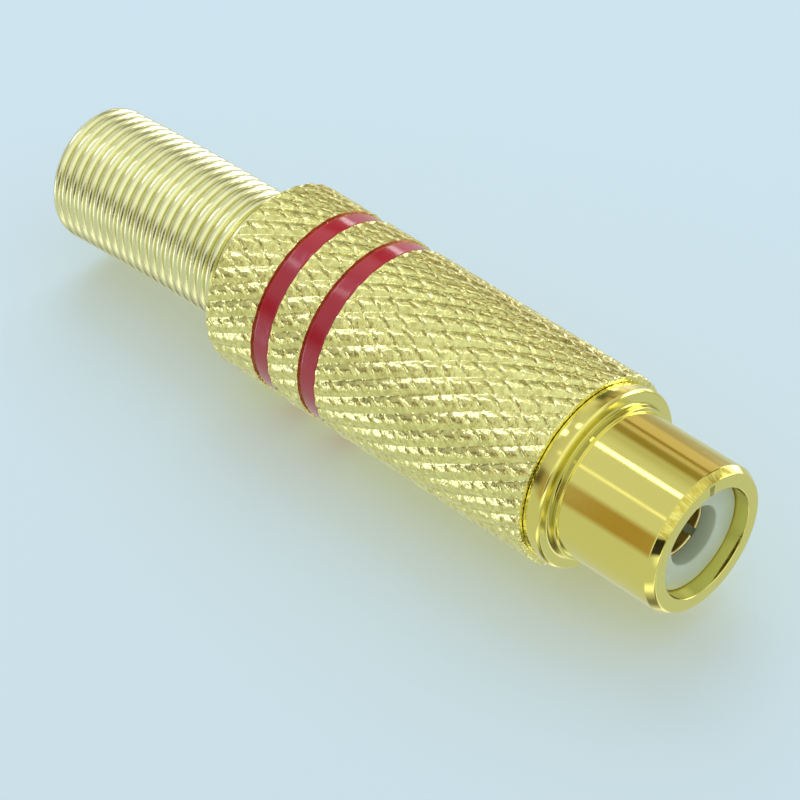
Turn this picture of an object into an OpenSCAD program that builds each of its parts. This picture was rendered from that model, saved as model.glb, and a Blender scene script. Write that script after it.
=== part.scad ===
// In-line phono socket for a cable, with a screw-on knurled shell and a spring strain relief.
// Millimetres. The socket's mouth stands on z = 0 and the cable leaves upwards along +Z.

/* [Socket barrel] */
// Outer diameter of the barrel that a plug's sleeve grips
barrel_d = 8.3; // [7.6:0.05:8.6]
// Length of the barrel from the mouth to the small step
barrel_len = 6.2; // [4:0.1:9]
// Bore of the barrel, which the front insulator fills
barrel_bore_d = 6.24; // [5.6:0.02:6.6]
// Axial length of the bevel round the mouth
lip_len = 0.47; // [0.1:0.01:0.8]
// How far the bevel takes the mouth's edge in
lip_drop = 0.27; // [0.05:0.01:0.45]

/* [Flange] */
// How far the small step between barrel and flange stands off the barrel
step_rise = 0.27; // [0.1:0.01:0.4]
// Length of the small step
step_len = 0.3; // [0.1:0.05:1]
// Outer diameter of the flange that the shell screws up to
flange_d = 10.2; // [9.8:0.05:10.6]
// Length of the flange
flange_len = 1.12; // [0.6:0.02:2]
// Radius of the round on the flange's front edge
flange_round = 0.18; // [0.05:0.01:0.4]

/* [Threaded boss] */
// Running gap of the thread in the shell, on the radius
thread_gap = 0.05; // [0.02:0.01:0.1]
// Length of the boss behind the flange
boss_len = 5.4; // [4.6:0.1:7]
// Length of the run-out groove behind the flange
runout_len = 0.6; // [0.3:0.05:1]
// Depth of the run-out groove
runout_depth = 0.3; // [0.1:0.05:0.35]
// Diameter of the pocket that holds the insulator's collar, the tag's ring and the washer
pocket_d = 7.2; // [6.9:0.05:7.4]
// Opening that the rolled rim of the boss leaves at its back
rim_opening_d = 6.5; // [6.2:0.05:6.7]
// Thickness of the rolled rim
rim_thick = 0.45; // [0.3:0.05:0.8]

/* [Front insulator] */
// How far the insulator's face lies inside the mouth
insulator_recess = 0.83; // [0.3:0.01:1.5]
// Diameter of the hole that a plug's pin enters
pin_hole_d = 3.34; // [3.3:0.02:3.7]
// Thickness of the insulator's front wall
insulator_wall = 1.0; // [0.6:0.05:1.6]
// Thickness of the collar that sits in the boss's pocket
collar_len = 1.2; // [0.8:0.05:2]
// Play between a push-in piece and its seat, on the radius
fit_gap = 0.02; // [0.01:0.01:0.06]

/* [Centre contact] */
// Bore of the contact, which grips a plug's pin
contact_bore_d = 3.2; // [3.1:0.02:3.25]
// Wall of the contact's tube
contact_wall = 0.45; // [0.3:0.05:0.6]
// Thickness of the contact's closed back
contact_back = 2.04; // [1:0.02:3]
// Bevel that leads the pin into the contact
lead_in = 0.12; // [0.05:0.01:0.2]
// Width of each slot between the spring fingers
slot_w = 0.45; // [0.2:0.05:0.6]
// Direction of the first slot, round from +X
slot_angle = 45; // [0:5:85]
// Length of the slots
slot_len = 4.2; // [2:0.1:5.5]
// Diameter of the stem that passes the washer
stem_d = 1.9; // [1.6:0.05:2.2]
// Length of the solder cup behind the washer
cup_len = 3.6; // [2.4:0.1:5]
// Solid stretch of the stem before the cup's bore
cup_floor = 0.4; // [0.2:0.1:0.8]
// Closed stretch of the cup before it is cut open
cup_closed = 1.0; // [0.9:0.1:2]
// Bore of the solder cup
cup_bore_d = 1.2; // [0.9:0.05:1.5]

/* [Ground tag] */
// Thickness of the tag's sheet
tag_thick = 0.4; // [0.25:0.05:0.5]
// Width of the tag's strip
tag_w = 2.2; // [1.6:0.1:2.8]
// Distance from the boss's back to the front of the cable clamp
clamp_start = 4.6; // [4.3:0.1:7]
// Length of the cable clamp along the cable
clamp_len = 3.4; // [2:0.1:4.2]
// Space between the tag's strip and the rim that it passes
tag_clear = 0.06; // [0.03:0.01:0.2]
// Space between the tag's ring and the contact
ring_clear = 0.45; // [0.3:0.05:0.5]
// How far the clamp's bent ears stand outside the flat strip
ear_rise = 0.1; // [0.05:0.01:0.15]
// Angle that the ears are still open by
clamp_gap = 120; // [90:5:170]
// Hole in the strip for the cable's screen
screen_hole_d = 1.1; // [0.8:0.1:1.4]

/* [Rear washer] */
// Thickness of the insulating washer behind the tag's ring
washer_thick = 0.7; // [0.5:0.05:1]
// Play of the tag's strip in the washer's notch, on each side
notch_gap = 0.15; // [0.05:0.05:0.3]

/* [Shell] */
// Diameter over the peaks of the knurl
shell_d = 10.9; // [10.6:0.1:11.6]
// Wall of the shell, from its thread to the peaks of the knurl
shell_wall = 0.9; // [0.8:0.05:1.1]
// Length of the shell
shell_len = 22.6; // [21:0.1:26]
// Bevel at each end of the shell
shell_bevel = 0.1; // [0.05:0.05:0.25]
// Thickness of the wall that the spring leaves through
end_wall = 1.6; // [1.2:0.1:3]
// Depth of the countersink inside that wall, where the spring's widest turn bears
seat_depth = 0.45; // [0.2:0.05:0.8]
// Gap between the flange and the shell when it is screwed home
seat_gap = 0.05; // [0.02:0.01:0.2]

/* [Knurl] */
// Grooves round the shell in each direction
knurl_count = 33; // [24:1:40]
// Angle of the grooves to the shell's axis
knurl_angle = 29.5; // [25:0.5:40]
// Depth of the grooves
knurl_depth = 0.2; // [0.1:0.01:0.3]

/* [Enamel bands] */
// Width of each coloured band
band_w = 1.28; // [0.6:0.02:1.8]
// Depth of the groove that a band fills
band_groove = 0.4; // [0.3:0.02:0.45]
// How far the enamel stays below the peaks of the knurl
band_sunk = 0.12; // [0.05:0.01:0.25]
// Clear metal between the shell's back and the rear band
rear_band_from_end = 3.45; // [2:0.05:5]
// Clear metal between the two bands
band_spacing = 2.2; // [1:0.05:4]

/* [Spring] */
// Outside diameter of the spring
spring_d = 7.74; // [6.6:0.02:7.8]
// Diameter of the wire
wire_d = 0.62; // [0.5:0.01:0.63]
// Pitch of the turns
spring_pitch = 0.64; // [0.64:0.005:0.9]
// Length of spring that stands out of the shell
spring_out = 14.5; // [8:0.05:16]
// Play of the wide turns in the shell, on the radius
held_gap = 0.13; // [0.08:0.01:0.3]
// Number of wide turns
held_turns = 2.25; // [1.5:0.25:3]
// Angle that the free end droops by
spring_droop = 5; // [0:1:8]
// Running gap round the spring in the shell's end hole
spring_gap = 0.1; // [0.05:0.01:0.2]
// Direction in which the wire's free end is cut, round from +X towards +Y
wire_end_angle = 60; // [0:5:355]

/* [Insulating sleeve] */
// Thickness of the sleeve's wall
sleeve_wall = 0.3; // [0.2:0.05:0.5]
// Play of the sleeve in the shell, on the radius
sleeve_gap = 0.03; // [0.02:0.01:0.06]
// Distance between the boss's back and the sleeve when the shell is home
sleeve_setback = 0.6; // [0.3:0.1:2]

/* [Hidden] */
$fn = 64;
// Overshoot that lets one shape cut cleanly through another
cut = 0.5;
// Sides of the spring's wire and steps in each of its turns
wire_sides = 8;
turn_steps = 18;

gold = [0.86, 0.80, 0.42];
enamel = [0.78, 0.12, 0.18];
ivory = [0.90, 0.92, 0.88];
fibre = [0.55, 0.38, 0.22];
film = [0.93, 0.93, 0.90];

barrel_r = barrel_d / 2;
shell_r = shell_d / 2;
bore_r = shell_r - shell_wall;
thread_r = bore_r - thread_gap;
contact_r = contact_bore_d / 2 + contact_wall;
pocket_fit_r = pocket_d / 2 - fit_gap;

// Places along the axis, from the mouth backwards
step_z = barrel_len;
flange_z = step_z + step_len;
boss_z = flange_z + flange_len;
boss_end = boss_z + boss_len;
pocket_end = boss_end - rim_thick;
washer_z = pocket_end - washer_thick;
ring_z = washer_z - tag_thick;
collar_z = ring_z - collar_len;
contact_z = insulator_recess + insulator_wall;
contact_floor = washer_z - contact_back;
clamp_z = boss_end + clamp_start;
shell_z = boss_z + seat_gap;
shell_end = shell_z + shell_len;
end_wall_z = shell_end - end_wall;
rear_band_z = shell_end - rear_band_from_end - band_w;
front_band_z = rear_band_z - band_spacing - band_w;
groove_r = shell_r - band_groove;
// The tag's strip runs as far out as its corners can pass the rim
clamp_r = sqrt(pow(rim_opening_d / 2 - tag_clear, 2) - pow(tag_w / 2, 2));

// The spring: its wide turns, the step down to the free turns, and the droop of the free end
wire_r = wire_d / 2;
free_r = spring_d / 2 - wire_r;
held_r = bore_r - held_gap - wire_r;
hole_r = spring_d / 2 + spring_gap;
droop_len = spring_out - wire_r;
spring_top = shell_end + droop_len;
narrowing_turns = 0.5;
narrow_z = end_wall_z + seat_depth - wire_r;
held_z = narrow_z - (held_turns + narrowing_turns) * spring_pitch;
spring_turns = (spring_top - held_z) / spring_pitch;
spring_steps = floor(spring_turns * turn_steps);
start_angle = wire_end_angle - 360 * spring_steps / turn_steps;
sleeve_z = boss_end + sleeve_setback;
sleeve_end = held_z - wire_r - seat_gap;
sleeve_r = bore_r - sleeve_gap;

// A ring turned from an outline of [radius, height] points
module turned(outline) {
    rotate_extrude() polygon(outline);
}

// A plain tube standing on height z
module tube(r_out, r_in, z, length) {
    turned([[r_in, z], [r_out, z], [r_out, z + length], [r_in, z + length]]);
}

// Points of a quarter round from direction a to direction b about a centre
function round_points(centre, radius, a, b, steps = 6) = [
    for (i = [0 : steps])
        let (t = a + (b - a) * i / steps)
        centre + radius * [cos(t), sin(t)]
];

// Barrel, step, flange and threaded boss, turned from one bar, with the boss's rim rolled in at the back
module socket_body() {
    bore = barrel_bore_d / 2;
    outside = concat(
        [[barrel_r - lip_drop, 0], [barrel_r, lip_len], [barrel_r, step_z]],
        [[barrel_r + step_rise, step_z], [barrel_r + step_rise, flange_z]],
        round_points([flange_d / 2 - flange_round, flange_z + flange_round], flange_round, -90, 0),
        [[flange_d / 2, boss_z], [thread_r - runout_depth, boss_z]],
        [[thread_r - runout_depth, boss_z + runout_len], [thread_r, boss_z + runout_len + runout_depth]],
        [[thread_r, boss_end - runout_depth], [thread_r - runout_depth, boss_end]]
    );
    inside = [
        [rim_opening_d / 2, boss_end], [rim_opening_d / 2, pocket_end], [pocket_d / 2, pocket_end],
        [pocket_d / 2, collar_z], [bore, collar_z], [bore, 0]
    ];
    color(gold) turned(concat(outside, inside));
}

// White insert with the pin's hole in its front wall and a collar at the back; the contact goes in from behind
module front_insulator() {
    outer = barrel_bore_d / 2 - fit_gap;
    cavity = contact_r + fit_gap;
    color(ivory) turned([
        [pin_hole_d / 2, insulator_recess], [outer, insulator_recess], [outer, collar_z],
        [pocket_fit_r, collar_z], [pocket_fit_r, ring_z], [cavity, ring_z],
        [cavity, contact_z], [pin_hole_d / 2, contact_z]
    ]);
}

// Split tube that grips the plug's pin, with a stem and a solder cup behind it
module centre_contact() {
    inner = contact_bore_d / 2;
    cup_z = pocket_end;
    cup_end = cup_z + cup_len;
    color(gold) difference() {
        turned([
            [0, contact_floor], [inner, contact_floor], [inner, contact_z + lead_in],
            [inner + lead_in, contact_z], [contact_r, contact_z], [contact_r, washer_z],
            [stem_d / 2, washer_z], [stem_d / 2, cup_end], [0, cup_end]
        ]);
        for (a = [0, 90])
            rotate([0, 0, slot_angle + a])
                translate([-slot_w / 2, -contact_r - cut, contact_z - cut])
                    cube([slot_w, 2 * (contact_r + cut), slot_len + cut]);
        translate([0, 0, cup_z + cup_floor]) cylinder(d = cup_bore_d, h = cup_len);
        translate([-stem_d, 0, cup_z + cup_closed]) cube([2 * stem_d, stem_d, cup_len]);
    }
}

// A ring on the insulator's collar, with a strip bent up from it that ends in two ears for the cable
module ground_tag() {
    color(gold) union() {
        difference() {
            tube(pocket_fit_r, contact_r + ring_clear, ring_z, tag_thick);
            // The strip leaves the ring here, so the ring is flat on this side
            translate([-tag_w / 2 - notch_gap, -pocket_d - clamp_r, ring_z - cut])
                cube([tag_w + 2 * notch_gap, pocket_d, tag_thick + 2 * cut]);
        }
        difference() {
            translate([0, 0, ring_z]) linear_extrude(clamp_z - ring_z) tag_strip();
            translate([0, 0, boss_end + clamp_start / 2])
                rotate([90, 0, 0]) cylinder(d = screen_hole_d, h = 2 * clamp_r);
        }
        translate([0, 0, clamp_z]) linear_extrude(clamp_len) union() {
            tag_strip();
            clamp_ears();
        }
    }
}

// Cross-section of the tag's flat strip
module tag_strip() {
    translate([-tag_w / 2, -clamp_r]) square([tag_w, tag_thick]);
}

// Cross-section of the ears, bent up round the cable and open towards +Y
module clamp_ears() {
    ear_r = clamp_r + ear_rise;
    reach = 2 * ear_r;
    gap_x = reach * sin(clamp_gap / 2);
    gap_y = reach * cos(clamp_gap / 2);
    difference() {
        circle(ear_r);
        circle(ear_r - tag_thick);
        polygon([[0, 0], [gap_x, gap_y], [gap_x, reach], [-gap_x, reach], [-gap_x, gap_y]]);
    }
}

// Fibre washer under the rolled rim, notched where the tag's strip passes
module rear_washer() {
    notch_top = clamp_r - tag_thick - notch_gap;
    color(fibre) difference() {
        tube(pocket_fit_r, stem_d / 2 + fit_gap, washer_z, washer_thick);
        translate([-tag_w / 2 - notch_gap, -pocket_d - notch_top, washer_z - cut])
            cube([tag_w + 2 * notch_gap, pocket_d, washer_thick + 2 * cut]);
    }
}

// Diamond knurl: grooves of both hands meet on a grid, with a pyramid's peak between each four crossings
module knurl_blank() {
    columns = 2 * knurl_count;
    valley_r = shell_r - knurl_depth;
    half_length = PI * shell_d / (2 * knurl_count) / tan(knurl_angle);
    rows = ceil(shell_len / half_length) + 2;
    start_z = shell_z - half_length;
    function grid_point(row, column) =
        let (r = (row + column) % 2 == 0 ? valley_r : shell_r, a = 360 * column / columns)
        [r * cos(a), r * sin(a), start_z + row * half_length];
    function index(row, column) = row * columns + column % columns;
    points = [for (row = [0 : rows]) for (column = [0 : columns - 1]) grid_point(row, column)];
    // Each grid cell is split along its groove, which joins the cell's two valley corners
    walls = [
        for (row = [0 : rows - 1]) for (column = [0 : columns - 1])
            let (
                a = index(row, column), b = index(row, column + 1),
                c = index(row + 1, column + 1), d = index(row + 1, column)
            )
            each (row + column) % 2 == 0 ? [[a, d, c], [a, c, b]] : [[a, d, b], [b, d, c]]
    ];
    bottom = [for (column = [0 : columns - 1]) index(0, column)];
    top = [for (column = [columns - 1 : -1 : 0]) index(rows, column)];
    polyhedron(points, concat(walls, [bottom, top]));
}

// Screw-on cover: knurled outside, two grooves for the bands, and a small hole for the spring
module knurled_shell() {
    clear_r = shell_r + cut;
    edge_r = shell_r - shell_bevel;
    bevel_rise = clear_r - edge_r;
    outline = [
        [bore_r, shell_z], [edge_r, shell_z], [clear_r, shell_z + bevel_rise],
        [clear_r, front_band_z], [groove_r, front_band_z],
        [groove_r, front_band_z + band_w], [clear_r, front_band_z + band_w],
        [clear_r, rear_band_z], [groove_r, rear_band_z],
        [groove_r, rear_band_z + band_w], [clear_r, rear_band_z + band_w],
        [clear_r, shell_end - bevel_rise], [edge_r, shell_end],
        [hole_r, shell_end], [hole_r, end_wall_z + seat_depth],
        [bore_r - held_gap, end_wall_z], [bore_r, end_wall_z]
    ];
    color(gold) intersection() {
        knurl_blank();
        turned(outline);
    }
}

// Enamel that fills one of the shell's grooves
module band(z) {
    color(enamel) tube(shell_r - band_sunk, groove_r, z, band_w);
}

// Thin tube that keeps the solder joints off the shell
module insulating_sleeve() {
    color(film) tube(sleeve_r, sleeve_r - sleeve_wall, sleeve_z, sleeve_end - sleeve_z);
}

// A point of the straight spring, carried over onto the drooping centre line above the shell's end
function drooped(p) =
    let (s = p[2] - shell_end, bend = spring_droop * s / droop_len)
    s <= 0 || spring_droop == 0 ? p :
        let (bend_r = droop_len / (spring_droop * PI / 180))
        [
            p[0],
            bend_r * (1 - cos(bend)) + p[1] * cos(bend),
            shell_end + bend_r * sin(bend) - p[1] * sin(bend)
        ];

// Radius of the coil after a number of turns: wide, then a smooth step down to the free turns
function coil_radius(turns) =
    let (t = max(0, min(1, (turns - held_turns) / narrowing_turns)), s = t * t * (3 - 2 * t))
    held_r + (free_r - held_r) * s;

// Close-wound spring that keeps the cable from bending sharply
module relief_spring() {
    function section(step) =
        let (
            turns = step / turn_steps, a = start_angle + 360 * turns,
            r = coil_radius(turns), z = held_z + turns * spring_pitch
        )
        [
            for (side = [0 : wire_sides - 1])
                let (b = 360 * (side + 0.5) / wire_sides, rr = r + wire_r * cos(b))
                drooped([rr * cos(a), rr * sin(a), z + wire_r * sin(b)])
        ];
    points = [for (step = [0 : spring_steps]) each section(step)];
    skin = [
        for (step = [0 : spring_steps - 1]) for (side = [0 : wire_sides - 1])
            let (
                next = (side + 1) % wire_sides,
                a = step * wire_sides + side, b = step * wire_sides + next,
                c = a + wire_sides, d = b + wire_sides
            )
            each [[a, b, d], [a, d, c]]
    ];
    start_cap = [for (side = [wire_sides - 1 : -1 : 0]) side];
    end_cap = [for (side = [0 : wire_sides - 1]) spring_steps * wire_sides + side];
    color(gold) polyhedron(points, concat(skin, [start_cap, end_cap]));
}

socket_body();
front_insulator();
centre_contact();
ground_tag();
rear_washer();
knurled_shell();
band(front_band_z);  // front_band
band(rear_band_z);  // rear_band
insulating_sleeve();
relief_spring();
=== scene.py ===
"""Looks of an in-line phono socket: gilt barrel, knurled shell with enamel bands, relief spring.

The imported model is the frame. Every size below is in millimetres until it reaches a mesh, which
is in metres, and places along the axis are read from the frame's own nodes.
"""

import logging
import math
from dataclasses import dataclass, field
from enum import Enum, StrEnum
from typing import Callable, Iterable, Optional, Sequence

import bmesh
import bpy
import numpy as np
from mathutils import Matrix, Vector


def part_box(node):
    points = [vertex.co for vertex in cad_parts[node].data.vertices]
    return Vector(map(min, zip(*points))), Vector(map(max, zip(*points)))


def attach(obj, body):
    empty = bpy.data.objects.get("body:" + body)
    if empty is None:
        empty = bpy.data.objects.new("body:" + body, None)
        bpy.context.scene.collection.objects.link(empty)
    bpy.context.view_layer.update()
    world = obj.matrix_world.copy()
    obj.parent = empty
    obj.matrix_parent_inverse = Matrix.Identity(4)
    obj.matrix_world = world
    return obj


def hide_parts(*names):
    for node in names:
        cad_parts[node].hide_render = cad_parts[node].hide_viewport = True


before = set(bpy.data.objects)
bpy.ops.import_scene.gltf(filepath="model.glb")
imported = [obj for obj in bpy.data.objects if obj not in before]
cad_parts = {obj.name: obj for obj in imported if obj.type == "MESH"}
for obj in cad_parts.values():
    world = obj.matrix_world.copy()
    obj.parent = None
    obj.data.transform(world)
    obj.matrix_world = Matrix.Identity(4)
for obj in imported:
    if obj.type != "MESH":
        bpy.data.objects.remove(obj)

LOG = logging.getLogger("phono_socket")
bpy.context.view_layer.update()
MM = 0.001
# Angle between faces, in degrees, above which an edge stays sharp
CREASE = 35.0
# Metres below which vertices are joined and faces count as empty
WELD = 1e-8
SLIVER = 1e-9
# Share of an edge that the fillet at one of its ends takes up at most
MOST_FILLET = 0.49
# Factors of the usual sine hash
HASH_FACTORS = (12.9898, 78.233, 37.719)
HASH_SPREAD = 43758.5453

Colour = tuple[float, float, float]
Outline = Sequence[tuple[float, float]]


class Body(Enum):
    """Bodies of the frame that a piece can ride on."""

    JACK = "jack"
    SPRING = "spring"
    SHELL = "shell"


class Slot(StrEnum):
    """Material slots of the record, each with a finish of its own."""

    POLISHED_GOLD = "polished_gold"
    KNURLED_GOLD = "knurled_gold"
    SPRING_GOLD = "spring_gold"
    CONTACT_GOLD = "contact_gold"
    WHITE_INSERT = "white_insert"
    BROWN_FIBRE = "brown_fibre"
    RED_ENAMEL = "red_enamel"
    SLEEVE_FILM = "sleeve_film"


class SocketKind(Enum):
    """Kinds of value that a node group takes in or puts out."""

    FLOAT = "NodeSocketFloat"
    COLOUR = "NodeSocketColor"
    VECTOR = "NodeSocketVector"


@dataclass(frozen=True)
class Span:
    """The stretch of the axis that a node of the frame takes up, and its widest radius.

    Attributes:
        low: Lowest height, in millimetres.
        high: Highest height, in millimetres.
        radius: Half of the width along X, in millimetres.
    """

    low: float
    high: float
    radius: float

    @classmethod
    def of(cls, node: str) -> "Span":
        """Measures one node of the frame.

        Args:
            node: The node's name.

        Returns:
            Its span in millimetres.
        """
        low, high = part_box(node)
        return cls(low.z / MM, high.z / MM, (high.x - low.x) / 2 / MM)


@dataclass(frozen=True)
class Corner:
    """A corner of a turned outline.

    Attributes:
        r: Distance from the axis.
        z: Height.
        fillet: Radius that the corner is rounded to.
    """

    r: float
    z: float
    fillet: float = 0.0


def rounded(corners: Sequence[Corner], steps: int = 5) -> list[tuple[float, float]]:
    """Rounds the corners of a closed outline.

    Args:
        corners: The outline's corners in order.
        steps: Points on each rounded corner, less one.

    Returns:
        The outline's points as (radius, height) pairs.
    """
    points: list[tuple[float, float]] = []
    for i, corner in enumerate(corners):
        here = Vector((corner.r, corner.z))
        before = Vector((corners[i - 1].r, corners[i - 1].z))
        after_corner = corners[(i + 1) % len(corners)]
        after = Vector((after_corner.r, after_corner.z))
        if corner.fillet <= 0:
            points.append((here.x, here.y))
            continue
        into = (before - here).normalized()
        away = (after - here).normalized()
        half = into.angle(away) / 2
        reach = min(
            corner.fillet / math.tan(half),
            (before - here).length * MOST_FILLET,
            (after - here).length * MOST_FILLET,
        )
        radius = reach * math.tan(half)
        centre = here + (into + away).normalized() * (radius / math.sin(half))
        start = here + into * reach - centre
        end = here + away * reach - centre
        turn = start.angle(end)
        for step in range(steps + 1):
            t = step / steps
            share = math.sin((1 - t) * turn) * start + math.sin(t * turn) * end
            spot = centre + share / math.sin(turn)
            points.append((spot.x, spot.y))
    return points


def mesh_object(
    name: str,
    points: np.ndarray,
    faces: list[tuple[int, ...]],
    crease: float = CREASE,
) -> bpy.types.Object:
    """Makes a smooth-shaded object that stays sharp at its real edges.

    Args:
        name: The object's name.
        points: Vertices in millimetres, one row each.
        faces: Vertex numbers of each face.
        crease: Angle between faces, in degrees, above which an edge stays sharp.

    Returns:
        The new object, linked to the scene.
    """
    mesh = bpy.data.meshes.new(name)
    mesh.from_pydata((points * MM).tolist(), [], faces)
    draft = bmesh.new()
    draft.from_mesh(mesh)
    bmesh.ops.remove_doubles(draft, verts=draft.verts, dist=WELD)
    bmesh.ops.dissolve_degenerate(draft, edges=draft.edges, dist=SLIVER)
    bmesh.ops.recalc_face_normals(draft, faces=draft.faces)
    draft.to_mesh(mesh)
    draft.free()
    mesh.shade_smooth()
    mesh.set_sharp_from_angle(angle=math.radians(crease))
    piece = bpy.data.objects.new(name, mesh)
    bpy.context.scene.collection.objects.link(piece)
    return piece


def ring_faces(rings: int, columns: int, closed: bool) -> list[tuple[int, ...]]:
    """Joins rings of vertices into a tube.

    Args:
        rings: Number of rings.
        columns: Vertices in each ring, which is closed on itself.
        closed: Whether the last ring joins the first.

    Returns:
        The faces as tuples of vertex numbers.
    """
    faces = []
    for ring in range(rings if closed else rings - 1):
        low = ring * columns
        high = (ring + 1) % rings * columns
        for column in range(columns):
            side = (column + 1) % columns
            faces.append((low + column, low + side, high + side, high + column))
    return faces


def split_along_grooves(
    faces: list[tuple[int, ...]], radii: np.ndarray
) -> list[tuple[int, ...]]:
    """Splits each four-sided face along the diagonal whose ends are most level.

    Args:
        faces: The faces, four-sided.
        radii: Distance of each vertex from the axis.

    Returns:
        Triangles, with edges that follow grooves and ridges.
    """
    triangles: list[tuple[int, ...]] = []
    for a, b, c, d in faces:
        if abs(radii[a] - radii[c]) < abs(radii[b] - radii[d]):
            triangles += [(a, b, c), (a, c, d)]
        else:
            triangles += [(a, b, d), (b, c, d)]
    return triangles


def turned(name: str, outline: Outline, columns: int) -> bpy.types.Object:
    """Turns a closed outline about the axis.

    Args:
        name: The object's name.
        outline: Points as (radius, height) pairs, in order.
        columns: Steps round the axis.

    Returns:
        The turned object.
    """
    return displaced_turning(name, outline, lambda radii, heights, angles: radii, columns)


Displace = Callable[[np.ndarray, np.ndarray, np.ndarray], np.ndarray]


def displaced_turning(
    name: str,
    outline: Outline,
    displace: Displace,
    columns: int,
    crease: float = CREASE,
    grooved: bool = False,
) -> bpy.types.Object:
    """Turns an outline whose radius also changes round the axis, as on a thread or a knurl.

    Args:
        name: The object's name.
        outline: Points as (radius, height) pairs, in order.
        displace: Gives radii from grids of radii, heights and angles.
        columns: Steps round the axis.
        crease: Angle above which an edge stays sharp, in degrees.
        grooved: Whether its faces are split so that their edges follow grooves.

    Returns:
        The turned object.
    """
    shape = np.array(outline, float)
    angles = np.linspace(0, 2 * math.pi, columns, endpoint=False)[None, :]
    radii = np.repeat(shape[:, :1], columns, axis=1)
    heights = np.repeat(shape[:, 1:], columns, axis=1)
    radii = displace(radii, heights, np.repeat(angles, len(shape), axis=0))
    points = np.stack([radii * np.cos(angles), radii * np.sin(angles), heights], axis=-1)
    faces = ring_faces(len(shape), columns, True)
    if grooved:
        faces = split_along_grooves(faces, radii.ravel())
    return mesh_object(name, points.reshape(-1, 3), faces, crease)


def steps_between(low: float, high: float, pitch: float) -> np.ndarray:
    """Evenly spaced heights from low to high, no further apart than pitch."""
    return np.linspace(low, high, max(2, math.ceil(abs(high - low) / pitch) + 1))


def smooth_step(value: np.ndarray) -> np.ndarray:
    """The usual smooth ramp from 0 to 1."""
    t = np.clip(value, 0, 1)
    return t * t * (3 - 2 * t)


def hashed(*values: np.ndarray) -> np.ndarray:
    """A repeatable pseudo-random number from 0 to 1 for each set of whole numbers.

    Args:
        values: Arrays of whole numbers.

    Returns:
        An array of numbers from 0 to 1.
    """
    mixed = sum(np.round(value) * factor for value, factor in zip(values, HASH_FACTORS))
    wave = np.sin(mixed) * HASH_SPREAD
    return wave - np.floor(wave)


@dataclass
class Graph:
    """A short way to write shader nodes.

    Attributes:
        tree: The node tree that is being filled.
    """

    tree: bpy.types.NodeTree

    def add(self, kind: str, **values: object) -> bpy.types.Node:
        """Adds a node and sets its properties and sockets.

        Args:
            kind: The node's type name.
            values: Property names in lower case, or socket names with _ for spaces. A socket
                value may be another node's output.

        Returns:
            The new node.
        """
        node = self.tree.nodes.new(kind)
        for key, value in values.items():
            if hasattr(node, key) and key.islower():
                setattr(node, key, value)
            else:
                self.feed(node, key.replace("_", " "), value)
        return node

    def feed(self, node: bpy.types.Node, socket: str | int, value: object) -> None:
        """Links or sets one input of a node.

        Args:
            node: The node.
            socket: The input's name or number.
            value: An output to link, or a constant.
        """
        target = node.inputs[socket]
        if isinstance(value, bpy.types.NodeSocket):
            self.tree.links.new(value, target)
        else:
            target.default_value = value

    def math(self, operation: str, first: object, second: object = 0.0) -> bpy.types.NodeSocket:
        """Adds a Math node.

        Args:
            operation: Its operation.
            first: First operand, an output or a number.
            second: Second operand, an output or a number.

        Returns:
            The node's output.
        """
        node = self.add("ShaderNodeMath", operation=operation)
        self.feed(node, 0, first)
        self.feed(node, 1, second)
        return node.outputs[0]

    def mix(self, share: object, first: object, second: object) -> bpy.types.NodeSocket:
        """Mixes two colours.

        Args:
            share: Share of the second colour, an output or a number.
            first: First colour.
            second: Second colour.

        Returns:
            The mixed colour.
        """
        node = self.add("ShaderNodeMix", data_type="RGBA")
        self.feed(node, 0, share)
        self.feed(node, 6, first)
        self.feed(node, 7, second)
        return node.outputs[2]

    def ramp(self, value: object, low: object, high: object) -> bpy.types.NodeSocket:
        """Maps a value from low..high to 0..1, held at both ends.

        Args:
            value: The value, an output.
            low: Value that gives 0, an output or a number.
            high: Value that gives 1, an output or a number.

        Returns:
            The mapped value.
        """
        node = self.add("ShaderNodeMapRange", clamp=True)
        for socket, number in enumerate((value, low, high, 0.0, 1.0)):
            self.feed(node, socket, number)
        return node.outputs[0]

    def noise(self, where: object, scale: object, detail: float = 2.0) -> bpy.types.NodeSocket:
        """Adds a noise texture.

        Args:
            where: The coordinates.
            scale: How fine it is.
            detail: Its octaves.

        Returns:
            The noise value, about 0 to 1.
        """
        return self.add(
            "ShaderNodeTexNoise", Vector=where, Scale=scale, Detail=detail
        ).outputs[0]


def new_group(
    name: str,
    inputs: Sequence[tuple[str, SocketKind, object]],
    outputs: Sequence[tuple[str, SocketKind]],
) -> tuple[Graph, bpy.types.Node, bpy.types.Node]:
    """Starts a shader node group with named sockets.

    Args:
        name: The group's name.
        inputs: Name, kind and default of each input.
        outputs: Name and kind of each output.

    Returns:
        The group's graph, its input node and its output node.
    """
    tree = bpy.data.node_groups.new(name, "ShaderNodeTree")
    for label, kind, default in inputs:
        socket = tree.interface.new_socket(label, in_out="INPUT", socket_type=kind.value)
        socket.default_value = default
    for label, kind in outputs:
        tree.interface.new_socket(label, in_out="OUTPUT", socket_type=kind.value)
    graph = Graph(tree)
    return graph, graph.add("NodeGroupInput"), graph.add("NodeGroupOutput")


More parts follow.
